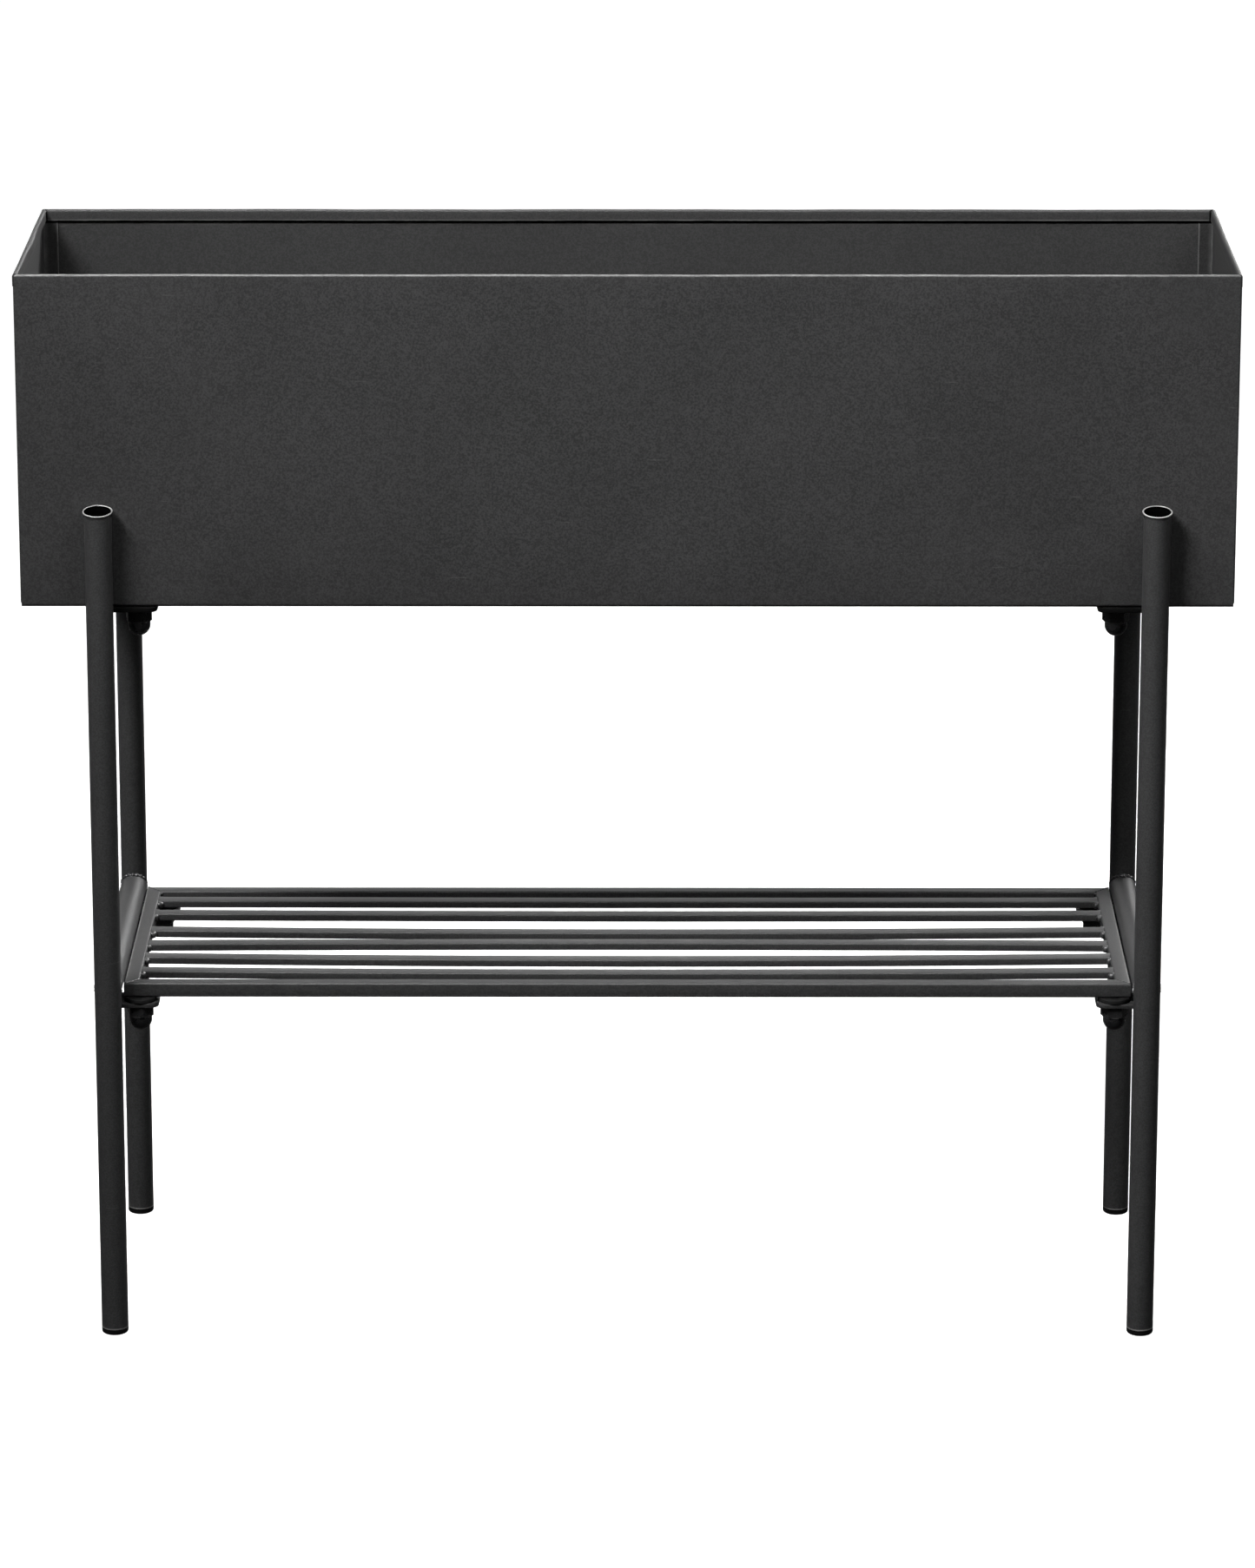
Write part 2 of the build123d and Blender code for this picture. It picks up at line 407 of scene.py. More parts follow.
class NodeBook:
    """Places shader nodes in a tree and joins their sockets by name."""

    def __init__(self, tree: bpy.types.NodeTree) -> None:
        """Keeps the tree.

        Args:
            tree: A material's or a group's node tree.
        """
        self.tree = tree

    def add(self, kind: str, values: dict | None = None, **settings: object) -> bpy.types.Node:
        """Adds a node.

        Args:
            kind: The node's type, without ShaderNode in front.
            values: Socket names with a constant, or the socket that feeds them.
            settings: The node's own properties.

        Returns:
            The node.
        """
        node = self.tree.nodes.new("ShaderNode" + kind)
        for key, value in settings.items():
            setattr(node, key, value)
        for key, value in (values or {}).items():
            socket = node.inputs[key]
            if isinstance(value, bpy.types.NodeSocket):
                self.tree.links.new(value, socket)
            else:
                socket.default_value = value
        return node

    def math(self, operation: str, a: object, b: object = 0.0, clamp: bool = False) -> bpy.types.NodeSocket:
        """Adds a Math node.

        Args:
            operation: What it works out.
            a: Its first number or socket.
            b: Its second number or socket.
            clamp: Whether the result stays from 0 to 1.

        Returns:
            The result's socket.
        """
        return self.add("Math", {0: a, 1: b}, operation=operation, use_clamp=clamp).outputs[0]

    def noise(
        self, vector: object, scale: object, detail: float, roughness: float = 0.5
    ) -> bpy.types.NodeSocket:
        """Adds a Noise Texture.

        Args:
            vector: Where it is read.
            scale: Its waves for each metre.
            detail: How many finer layers it has.
            roughness: How strong each finer layer is.

        Returns:
            The noise's height, from 0 to 1.
        """
        values = {"Vector": vector, "Scale": scale, "Detail": detail, "Roughness": roughness}
        return self.add("TexNoise", values).outputs[0]

    def span(
        self, value: object, low: float, high: float, to: tuple[float, float]
    ) -> bpy.types.NodeSocket:
        """Maps a value's range onto another, and holds it there.

        Args:
            value: The value's socket.
            low: Where the range starts.
            high: Where the range ends.
            to: What its start and end become.

        Returns:
            The mapped value.
        """
        values = {"Value": value, "From Min": low, "From Max": high, "To Min": to[0], "To Max": to[1]}
        return self.add("MapRange", values, interpolation_type="SMOOTHSTEP").outputs[0]

    def colour_mix(self, mask: bpy.types.NodeSocket, a: object, b: object) -> bpy.types.NodeSocket:
        """Mixes two colours by a mask.

        Args:
            mask: 0 for the first colour, 1 for the second.
            a: The first colour, as three numbers or a socket.
            b: The second colour, as three numbers or a socket.

        Returns:
            The mixed colour.
        """
        node = self.add("Mix", data_type="RGBA")
        for name, value in (("A", a), ("B", b)):
            socket = next(s for s in node.inputs if s.name == name and s.type == "RGBA")
            if isinstance(value, bpy.types.NodeSocket):
                self.tree.links.new(value, socket)
            else:
                socket.default_value = (*value, 1.0)
        self.tree.links.new(mask, node.inputs[0])
        return next(s for s in node.outputs if s.type == "RGBA")

    def share(self, name: str) -> bpy.types.NodeSocket:
        """Reads a share that mark() stored on the points."""
        return self.add("Attribute", attribute_name=name, attribute_type="GEOMETRY").outputs["Fac"]


class EffectGroup:
    """A shader node group that several finishes share. It is made the first time it is asked for."""

    name = ""
    sockets_in: tuple[tuple[str, str, float], ...] = ()
    sockets_out: tuple[str, ...] = ()

    def draw(self, book: NodeBook, given: bpy.types.Node, result: bpy.types.Node) -> None:
        """Draws the group's inside.

        Args:
            book: The group's nodes.
            given: The group's inputs.
            result: The group's outputs.
        """
        raise NotImplementedError

    def tree(self) -> bpy.types.NodeTree:
        """The group's node tree, made once.

        Returns:
            The tree.
        """
        made = bpy.data.node_groups.get(self.name)
        if made:
            return made
        made = bpy.data.node_groups.new(self.name, "ShaderNodeTree")
        made.interface.new_socket("Vector", in_out="INPUT", socket_type="NodeSocketVector")
        for label, kind, value in self.sockets_in:
            socket = made.interface.new_socket(label, in_out="INPUT", socket_type=kind)
            socket.default_value = value
        for label in self.sockets_out:
            made.interface.new_socket(label, in_out="OUTPUT", socket_type="NodeSocketFloat")
        given = made.nodes.new("NodeGroupInput")
        result = made.nodes.new("NodeGroupOutput")
        self.draw(NodeBook(made), given, result)
        return made

    def place(self, book: NodeBook, vector: bpy.types.NodeSocket, **values: float) -> bpy.types.Node:
        """Places the group in a material.

        Args:
            book: The material's nodes.
            vector: Where the pattern is read.
            values: Input names, with underscores for spaces.

        Returns:
            The group's node.
        """
        node = book.add("Group", node_tree=self.tree())
        book.tree.links.new(vector, node.inputs["Vector"])
        for key, value in values.items():
            node.inputs[key.replace("_", " ")].default_value = value
        return node


class CoatGrain(EffectGroup):
    """The skin of a baked powder coat: fine grains on a soft orange peel, and a slow change of tone."""

    name = "coat_grain"
    sockets_in = (
        ("Grain", "NodeSocketFloat", 1900.0),
        ("Peel", "NodeSocketFloat", 420.0),
        ("Tone", "NodeSocketFloat", 9.0),
    )
    sockets_out = ("Height", "Tone", "Sparkle", "Speckle")

    def draw(self, book: NodeBook, given: bpy.types.Node, result: bpy.types.Node) -> None:
        """Draws the grain. Height is 0.55 grain + 0.45 peel, Tone slow noise, Sparkle the tallest grains.

        Speckle is a fine mottle, about twice as fine as the peel.

        Args:
            book: The group's nodes.
            given: The group's inputs.
            result: The group's outputs.
        """
        where = given.outputs["Vector"]
        grain = book.noise(where, given.outputs["Grain"], 2.0, 0.6)
        peel = book.noise(where, given.outputs["Peel"], 1.0)
        tone = book.noise(where, given.outputs["Tone"], 3.0, 0.55)
        height = book.math("ADD", book.math("MULTIPLY", grain, 0.55), book.math("MULTIPLY", peel, 0.45))
        book.tree.links.new(height, result.inputs["Height"])
        book.tree.links.new(book.span(tone, 0.3, 0.7, (0.0, 1.0)), result.inputs["Tone"])
        book.tree.links.new(book.span(grain, 0.55, 0.72, (0.0, 1.0)), result.inputs["Sparkle"])
        mottle = book.noise(where, book.math("MULTIPLY", given.outputs["Peel"], 2.1), 2.0, 0.7)
        book.tree.links.new(book.span(mottle, 0.32, 0.68, (0.0, 1.0)), result.inputs["Speckle"])


class DustAndTopLight(EffectGroup):
    """Dust that lies on what faces up, and painted top light: the normal's Z, broken by noise."""

    name = "settled_dust"
    sockets_in = (("Amount", "NodeSocketFloat", 0.2),)
    sockets_out = ("Mask",)

    def draw(self, book: NodeBook, given: bpy.types.Node, result: bpy.types.Node) -> None:
        """Draws the dust and painted top light. Mask is amount x (how far the face looks up) x (0.45 to 1 of
        cloudy noise).

        Args:
            book: The group's nodes.
            given: The group's inputs.
            result: The group's outputs.
        """
        facing = book.add("NewGeometry").outputs["Normal"]
        up = book.add("SeparateXYZ", {0: facing}).outputs["Z"]
        lying = book.span(up, 0.55, 0.98, (0.0, 1.0))
        cloud = book.span(book.noise(given.outputs["Vector"], 60.0, 4.0, 0.6), 0.3, 0.7, (0.45, 1.0))
        shown = book.math("MULTIPLY", lying, cloud)
        mask = book.math("MULTIPLY", shown, given.outputs["Amount"], clamp=True)
        book.tree.links.new(mask, result.inputs["Mask"])


class FineMarks(EffectGroup):
    """Stray pale specks and short rubbed marks, far apart."""

    name = "fine_marks"
    sockets_in = (("Specks", "NodeSocketFloat", 55.0), ("Amount", "NodeSocketFloat", 0.3))
    sockets_out = ("Mask",)

    def draw(self, book: NodeBook, given: bpy.types.Node, result: bpy.types.Node) -> None:
        """Draws the marks: Mask is 1 near scattered points, where slow noise lets them show, plus streaks.

        Args:
            book: The group's nodes.
            given: The group's inputs.
            result: The group's outputs.
        """
        where = given.outputs["Vector"]
        near = book.add("TexVoronoi", {"Vector": where, "Scale": given.outputs["Specks"]}).outputs["Distance"]
        speck = book.span(near, 0.012, 0.03, (1.0, 0.0))
        let = book.span(book.noise(where, 23.0, 1.0), 0.56, 0.62, (0.0, 1.0))
        drawn_out = {"Vector": where, "Rotation": (0.0, 0.5, 0.0), "Scale": (26.0, 26.0, 420.0)}
        stretched = book.add("Mapping", drawn_out)
        streak = book.span(book.noise(stretched.outputs[0], 1.0, 2.0), 0.73, 0.78, (0.0, 0.5))
        both = book.math("ADD", book.math("MULTIPLY", speck, let), streak, clamp=True)
        book.tree.links.new(book.math("MULTIPLY", both, given.outputs["Amount"]), result.inputs["Mask"])


class Finish:
    """What every finish shares: how its material starts and how its shader is fed."""

    @staticmethod
    def start(name: str) -> tuple[bpy.types.Material, NodeBook, bpy.types.NodeSocket]:
        """Makes an empty material.

        Args:
            name: The finish's name.

        Returns:
            The material, its nodes and its Object coordinates.
        """
        material = bpy.data.materials.new(name)
        material.use_nodes = True
        book = NodeBook(material.node_tree)
        return material, book, book.add("TexCoord").outputs["Object"]

    @staticmethod
    def feed(
        book: NodeBook, specular: float, grain: bpy.types.Node, bump: tuple[float, float], fed: dict
    ) -> None:
        """Feeds the shader, with the grain's height as a bump.

        Args:
            book: The material's nodes.
            specular: The shader's specular level.
            grain: The placed grain group.
            bump: The bump's strength, and its depth in metres.
            fed: Shader inputs and the sockets that feed them.
        """
        shader = book.tree.nodes["Principled BSDF"]
        shader.inputs["Specular IOR Level"].default_value = specular
        values = {"Strength": bump[0], "Distance": bump[1], "Height": grain.outputs["Height"]}
        book.tree.links.new(book.add("Bump", values).outputs[0], shader.inputs["Normal"])
        for name, socket in fed.items():
            book.tree.links.new(socket, shader.inputs[name])


@dataclass(frozen=True)
class PowderCoat(Finish):
    """A baked black coat on steel: the trough, the legs, the shelf and the welds."""

    name: str = "powder_coat"
    deep: tuple[float, float, float] = (0.0148, 0.0148, 0.0150)
    pale: tuple[float, float, float] = (0.0173, 0.0173, 0.0175)
    dust_and_top_light: tuple[float, float, float] = (0.10, 0.10, 0.098)
    roughness: tuple[float, float] = (0.43, 0.36)
    bump: tuple[float, float] = (0.16, 0.00016)
    dust_and_top_light_amount: float = 0.05
    dust_and_top_light_roughness: float = 0.35
    marks_amount: float = 0.35
    mottle: tuple[float, float] = (0.6, 1.4)
    soot: tuple[float, float, float] = (0.0016, 0.0016, 0.0016)
    soot_roughness: float = 0.95
    pale_highlight_and_wear: tuple[float, float, float] = (0.24, 0.24, 0.235)
    pale_highlight_and_wear_roughness: float = 0.30
    pale_highlight_and_wear_patches: float = 95.0
    specular: float = 0.5

    def make(self) -> bpy.types.Material:
        """Makes the material: tone, dust with painted top light, painted highlights with rubbed wear, and
        painted shade in the colour, grain in roughness and bump.

        Returns:
            The material.
        """
        material, book, where = self.start(self.name)
        grain = CoatGrain().place(book, where)
        # Dust, and painted top light: faces that look up are paler.
        dust_and_top_light = DustAndTopLight().place(book, where, Amount=self.dust_and_top_light_amount).outputs["Mask"]
        marks = FineMarks().place(book, where, Amount=self.marks_amount).outputs["Mask"]
        # Painted highlight: the pale share lightens edges that catch light, in patches; at the legs' feet it
        # is rubbed wear.
        patchy = book.span(book.noise(where, self.pale_highlight_and_wear_patches, 3.0, 0.6), 0.25, 0.75, (0.35, 1.0))
        pale_share = book.math("MULTIPLY", book.share("wear"), patchy, clamp=True)
        # Painted shade: the dark share turns the coat near-black, rough and metallic where shade falls.
        dark = book.share("soot")

        tone = book.colour_mix(grain.outputs["Tone"], self.deep, self.pale)
        mottle = book.span(grain.outputs["Speckle"], 0.0, 1.0, self.mottle)
        colour = book.add("VectorMath", {0: tone, "Scale": mottle}, operation="SCALE").outputs[0]
        for mask, over in ((dust_and_top_light, self.dust_and_top_light), (marks, self.dust_and_top_light), (pale_share, self.pale_highlight_and_wear), (dark, self.soot)):
            colour = book.colour_mix(mask, colour, over)

        rough = book.span(grain.outputs["Sparkle"], 0.0, 1.0, self.roughness)
        rough = book.math("ADD", rough, book.math("MULTIPLY", dust_and_top_light, self.dust_and_top_light_roughness), clamp=True)
        for mask, over in ((pale_share, self.pale_highlight_and_wear_roughness), (dark, self.soot_roughness)):
            rough = book.add("Mix", {0: mask, 2: rough, 3: over}).outputs[0]
        fed = {"Base Color": colour, "Roughness": rough, "Metallic": dark}
        self.feed(book, self.specular, grain, self.bump, fed)
        return material


@dataclass(frozen=True)
class BlackSteel(Finish):
    """The fasteners' smooth black finish."""

    name: str = "black_fastener"
    deep: tuple[float, float, float] = (0.0030, 0.0030, 0.0032)
    pale: tuple[float, float, float] = (0.0060, 0.0060, 0.0063)
    dust_and_top_light: tuple[float, float, float] = (0.08, 0.08, 0.078)
    roughness: tuple[float, float] = (0.22, 0.34)
    pale_highlight_and_wear: tuple[float, float, float] = (0.06, 0.06, 0.06)
    dust_and_top_light_amount: float = 0.03
    bump: tuple[float, float] = (0.10, 0.00008)
    specular: float = 0.38

    def make(self) -> bpy.types.Material:
        """Makes the material: cloudy gloss, faint grain, painted highlights on the edges and a little dust
        with painted top light.

        Returns:
            The material.
        """
        material, book, where = self.start(self.name)
        grain = CoatGrain().place(book, where, Grain=1400.0, Peel=600.0, Tone=120.0)
        dust_and_top_light = DustAndTopLight().place(book, where, Amount=self.dust_and_top_light_amount).outputs["Mask"]
        colour = book.colour_mix(grain.outputs["Tone"], self.deep, self.pale)
        # Painted highlight on the nuts' shoulders, and dust with painted top light on faces that look up.
        for mask, over in ((dust_and_top_light, self.dust_and_top_light), (book.share("wear"), self.pale_highlight_and_wear)):
            colour = book.colour_mix(mask, colour, over)
        rough = book.span(grain.outputs["Tone"], 0.0, 1.0, self.roughness)
        self.feed(book, self.specular, grain, self.bump, {"Base Color": colour, "Roughness": rough})
        return material


@dataclass(frozen=True)
class Moulded(Finish):
    """Black moulded plastic or rubber: dull, with a fine spark-eroded texture."""

    name: str
    deep: tuple[float, float, float]
    pale: tuple[float, float, float]
    roughness: tuple[float, float]
    grain: float
    bump: tuple[float, float]
    specular: float = 0.10

    def make(self) -> bpy.types.Material:
        """Makes the material from the coat's grain at its own scale.

        Returns:
            The material.
        """
        material, book, where = self.start(self.name)
        grain = CoatGrain().place(book, where, Grain=self.grain, Peel=self.grain / 3, Tone=60.0)
        colour = book.colour_mix(grain.outputs["Tone"], self.deep, self.pale)
        rough = book.span(grain.outputs["Height"], 0.3, 0.7, self.roughness)
        self.feed(book, self.specular, grain, self.bump, {"Base Color": colour, "Roughness": rough})
        return material


FOOT_PLASTIC = Moulded(
    name="foot_plastic",
    deep=(0.0012, 0.0012, 0.0012),
    pale=(0.0024, 0.0024, 0.0024),
    roughness=(0.5, 0.62),
    grain=1500.0,
    bump=(0.15, 0.0001),
)
SPACER_RUBBER = Moulded(
    name="spacer_rubber",
    deep=(0.0025, 0.0025, 0.0025),
    pale=(0.005, 0.005, 0.005),
    roughness=(0.7, 0.85),
    grain=900.0,
    bump=(0.25, 0.0001),
)


class Finishes:
    """The four finishes, one for each slot of the record."""

    def __init__(self) -> None:
        """Makes each material once."""
        self.materials: dict[Slot, bpy.types.Material] = {
            Slot.POWDER_COAT: PowderCoat().make(),
            Slot.BLACK_FASTENER: BlackSteel().make(),
            Slot.FOOT_PLASTIC: FOOT_PLASTIC.make(),
            Slot.SPACER_RUBBER: SPACER_RUBBER.make(),
        }

    def dress(self, piece: bpy.types.Object, slot: Slot, nodes: list[str] | None = None) -> bpy.types.Object:
        """Gives a piece the finish of its slot and its body, and hides the CAD nodes it stands for.

        Args:
            piece: The piece.
            slot: Its slot in the record.
            nodes: The CAD nodes it replaces.

        Returns:
            The piece.
        """
        piece.data.materials.clear()
        piece.data.materials.append(self.materials[slot])
        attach(piece, BODY)
        if nodes:
            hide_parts(*nodes)
        LOG.info("%s: %d faces, %s", piece.name, len(piece.data.polygons), slot.value)
        return piece

    def paint(self, node: bpy.types.Object, slot: Slot) -> None:
        """Gives a CAD node that stays in view its finish.

        Args:
            node: The CAD node's object.
            slot: Its slot in the record.
        """
        node.data.materials.clear()
        node.data.materials.append(self.materials[slot])
        LOG.info("%s keeps its CAD mesh, %s", node.name, slot.value)


# ---------------------------------------------------------------- the trough


@dataclass
class Trough:
    """The folded trough: a wrap for front, floor and back, and a pan in each end. Sizes are in metres.

    left_rim and right_rim say where each short rim's waves start, and how far its hem bows inwards.
    The long rims' crests carry a painted highlight; the rim highlight's two numbers say how strong it is at
    the right-hand end, and how much more elsewhere.
    """

    finishes: Finishes
    sheet: float = 1.2 * MM
    bend: float = 2.4 * MM
    fold: float = 1.6 * MM
    hem: float = 7.6 * MM
    mitre_gap: float = 0.3 * MM
    pan_bend: float = 2.0 * MM
    pan_joint: float = 8.1 * MM
    wave: float = 0.28 * MM
    wave_length: float = 0.37
    left_rim: tuple[float, float] = (3.3, 0.9 * MM)
    right_rim: tuple[float, float] = (5.2, 0.225 * MM)
    rim_highlight: tuple[float, float] = (0.36, 0.2)
    rim_highlight_end: float = 0.37
    crest_half: float = 42.0
    crest_middle: float = 66.0
    inside_shade: float = 0.30
    stations: int = 121

    def strip_section(self, face: float, top: float, foot: float, bend: bool) -> tuple[Array, Array]:
        """The sheet's middle line and its outward side, from the hem's edge over the fold and down the wall.

        Distances run outwards from the trough's middle. The line is straight up the hem, half a circle
        over the fold, straight down the wall, and, on the wrap, a quarter circle into the floor.

        Args:
            face: How far out the wall's outer face is.
            top: The rim's height.
            foot: The height at which the wall ends, or the floor's underside on the wrap.
            bend: Whether the wall turns into the floor.

        Returns:
            The middle line's points and the unit normals towards the sheet's outer side.
        """
        half = self.sheet / 2
        centre = (face - self.fold, top - self.fold)
        turn = arc(centre, self.fold - half, 180, 0, 12)
        turn_out = arc((0, 0), 1, 180, 0, 12)
        hem_z = top - self.hem + np.array([0.0, 0.35, 0.7, 1.4, 3.5]) * MM
        hem = np.stack([np.full_like(hem_z, centre[0] - self.fold + half), hem_z], 1)
        wall_foot = foot + (self.bend if bend else 0)
        near_seam = np.array([-4.5, -3.0, -1.6, -0.8, 0.0, 0.4, 1.0, 1.5, 2.0, 2.5, 3.0, 3.6, 5.0, 10.0])
        wall_z = top - self.hem - near_seam * MM
        wall_z = np.concatenate([wall_z[wall_z > wall_foot + 0.2 * MM], [wall_foot]])
        if bend:
            wall_z = np.concatenate([wall_z[:-1], np.linspace(wall_z[-2], wall_foot, 7)[1:]])
        wall = np.stack([np.full_like(wall_z, face - half), wall_z], 1)
        line = [hem, turn, wall]
        out = [np.tile([-1.0, 0.0], (len(hem), 1)), turn_out, np.tile([1.0, 0.0], (len(wall), 1))]
        if bend:
            line.append(arc((face - self.bend, wall_foot), self.bend - half, 0, -90, 8)[1:])
            out.append(arc((0, 0), 1, 0, -90, 8)[1:])
            floor = np.linspace(face - self.bend, 0, 8)[1:]
            line.append(np.stack([floor, np.full_like(floor, foot + half)], 1))
            out.append(np.tile([0.0, -1.0], (len(floor), 1)))
        return np.concatenate(line), np.concatenate(out)

    def skins(self, line: Array, out: Array) -> tuple[Array, Array]:
        """The sheet's two sides: the middle line plus and minus half a sheet along its normal.

        Args:
            line: The middle line's points.
            out: The unit normals towards the outer side.

        Returns:
            The outer side's points and the inner side's.
        """
        return line + out * self.sheet / 2, line - out * self.sheet / 2

    def plate(self, skin: Skin, outer: Array, inner: Array) -> None:
        """Closes a bent sheet: its two sides, and narrow strips round all four edges.

        Args:
            skin: Where it is added.
            outer: The outer side's grid.
            inner: The inner side's grid, of the same shape.
        """
        skin.grid(outer).grid(inner)
        for end in (0, -1):
            skin.grid(np.stack([outer[end], inner[end]]))
            skin.grid(np.stack([outer[:, end], inner[:, end]]))

    def rim_wave(self, along: Array, height: Array, top: float, phase: float) -> tuple[Array, Array]:
        """How far a hand-folded rim leaves its line: full at the fold, nothing two hems lower.

        Args:
            along: Places along the rim.
            height: Heights of the points.
            top: The rim's height.
            phase: Where the waves start.

        Returns:
            The moves outwards and upwards.
        """
        share = smooth_step((height - (top - 2.2 * self.hem)) / (1.6 * self.hem))
        outwards = self.wave * waver(along, self.wave_length, phase)
        upwards = 0.6 * self.wave * waver(along, 0.6 * self.wave_length, phase + 1.7)
        return share * outwards, share * (upwards - 0.3 * self.wave)

    def wrap(self) -> bpy.types.Object:
        """Makes the wrap: P(s, t) = (t x_end(s), y(s), z(s)), its ends cut along the mitre at the rim.

        Returns:
            The wrap.
        """
        box = NodeBox.of("trough_wrap")
        ends = NodeBox.of("trough_right_end")
        half_depth, top, foot = box.high[1], box.high[2], box.low[2]
        line, out = self.strip_section(half_depth, top, foot, True)
        line = np.concatenate([line * [-1, 1], line[-2::-1]])
        out = np.concatenate([out * [-1, 1], out[-2::-1]])
        close = 1 - np.array([0.3, 0.6, 0.9, 1.4, 2.2]) * MM / box.high[0]
        t = np.sort(np.concatenate([np.linspace(-1, 1, self.stations), close, -close]))[None, :]
        sides = []
        for side in self.skins(line, out):
            y, z = side[:, :1], side[:, 1:]
            mitred = ends.high[0] - (half_depth - np.abs(y)) - self.mitre_gap
            at_rim = z > top - self.pan_joint
            x = np.where(at_rim, np.minimum(box.high[0], mitred), box.high[0]) * t
            phase = np.where(y > 0, 0.4, 2.1)
            out_by, up_by = self.rim_wave(x, z + 0 * x, top, phase)
            sides.append(np.stack([x, y + np.sign(y) * out_by, z + up_by], 2))
        skin = Skin()
        self.plate(skin, *sides)
        piece = skin.build("trough_wrap_sheet")
        points = points_of(piece.data)
        height, depth = points[:, 2], half_depth - np.abs(points[:, 1])
        # Painted highlight along the long rims' crests, stronger away from the right-hand end, and along the
        # hem's seam.
        pale_highlight_and_wear = self.rim_highlight[0] + self.rim_highlight[1] * smooth_step((self.rim_highlight_end - points[:, 0]) / 0.06)
        crest = pale_highlight_and_wear * self.crest(np.abs(points[:, 1]), height, half_depth, top)
        mark(piece, "wear", crest + self.seam_light(depth, height, top))
        # Painted shade in the hem's slit, the open mitres, the right-hand joint and over the inner side.
        dull = self.inside_shade * self.is_inside(depth, height, foot)
        dark = [self.seam_dark(depth, height, top), self.corner_dark(points, box, ends, top), dull]
        mark(piece, "soot", np.maximum.reduce(dark))
        return self.finishes.dress(piece, Slot.POWDER_COAT, ["trough_wrap"])

    def pan_edge(self, inset: float, low: float, widths: Array, heights: Array) -> tuple[Array, Array]:
        """The line at which the web starts to turn, and the way it turns.

        It runs down one side, along the foot and up the other.

        Args:
            inset: Half the flat web's width.
            low: The flat web's foot.
            widths: Places along the foot.
            heights: Heights down one side, from the joint to the foot.

        Returns:
            Rows of Y and Z, and the unit vectors that point away from the web.
        """
        rows, columns, turns = len(heights), len(widths), 7
        angles = np.radians(np.linspace(180, 270, turns))
        turn = np.stack([np.cos(angles), np.sin(angles)], 1)
        base = [
            np.stack([np.full(rows, -inset), heights], 1),
            np.tile([-inset, low], (turns, 1)),
            np.stack([widths, np.full(columns, low)], 1),
            np.tile([inset, low], (turns, 1)),
            np.stack([np.full(rows, inset), heights[::-1]], 1),
        ]
        away = [
            np.tile([-1.0, 0.0], (rows, 1)),
            turn,
            np.tile([0.0, -1.0], (columns, 1)),
            turn[::-1] * [-1, 1],
            np.tile([1.0, 0.0], (rows, 1)),
        ]
        return np.concatenate(base), np.concatenate(away)

    def pan(self, side: Side) -> bpy.types.Object:
        """Makes one end pan: a flat web whose edge turns into flanges, with a hem along the rim.

        The turned edge is P(s, t) = base(s) + n(s) reach(t) with x(t): base runs down one side, along the
        foot and up the other, n turns through a right angle at each lower corner, and reach and x follow
        a quarter circle and then the flange.

        Args:
            side: Which end.

        Returns:
            The pan.
        """
        node = f"trough_{side.name.lower()}_end"
        box = NodeBox.of(node)
        top = NodeBox.of("trough_wrap").high[2]
        joint, foot = top - self.pan_joint, box.low[2]
        half, face = box.size[1] / 2, max(abs(box.low[0]), abs(box.high[0]))
        inset, low = half - self.pan_bend, foot + self.pan_bend
        near_joint = joint - np.array([0.0, 1.2, 1.8, 3.0]) * MM
        heights = np.concatenate([near_joint, np.linspace(joint, low, 8)[1:]])
        widths = np.linspace(-inset, inset, 13)
        base, away = self.pan_edge(inset, low, widths, heights)
        skin = Skin()
        sides, upper_edges = [], []
        for radius, plane in ((self.pan_bend, face), (self.pan_bend - self.sheet, face - self.sheet)):
            free = face - box.size[0] + np.array([6.0, 2.0, 1.2, 0.6, 0.0]) * MM
            flange = np.stack([np.full(len(free), radius), free], 1)
            reach = np.concatenate([arc((0, plane - radius), radius, 90, 0, 6), flange])
            edge = base[:, None] + away[:, None] * reach[None, :, :1]
            x = np.broadcast_to(reach[None, :, 1:], (*edge.shape[:2], 1))
            turned = np.concatenate([x, edge], 2)
            web_y, web_z = np.meshgrid(widths, heights)
            skin.grid(np.stack([np.full_like(web_y, plane), web_y, web_z], 2)).grid(turned)
            ones = np.ones(len(widths) - 2)
            web_top = np.stack([plane * ones, widths[1:-1], joint * ones], 1)
            upper_edges.append(np.concatenate([turned[0, ::-1], web_top, turned[-1]]))
            sides.append(turned)
        outer, inner = sides
        skin.grid(np.stack([outer[:, -1], inner[:, -1]])).grid(np.stack(upper_edges))
        self.rim(skin, face, half, top, joint, self.left_rim if side is Side.LEFT else self.right_rim)
        skin.points = [p * np.array([side.value, 1, 1]) for p in skin.points]
        piece = skin.build(f"{node}_pan")
        self.mark_pan(piece, box, face, joint, top)
        return self.finishes.dress(piece, Slot.POWDER_COAT, [node])

    def mark_pan(self, piece: bpy.types.Object, box: NodeBox, face: float, joint: float, top: float) -> None:
        """Marks a pan's painted highlight lines and its painted shade on the flanges, in the slit and inside.

        Args:
            piece: The pan.
            box: Its CAD node's box.
            face: How far out its outer face is.
            joint: The height where its rim starts.
            top: The rim's height.
        """
        points = points_of(piece.data)
        out, height = np.abs(points[:, 0]), points[:, 2]
        depth, free, bend_line = face - out, face - box.size[0], face - 1.9 * MM
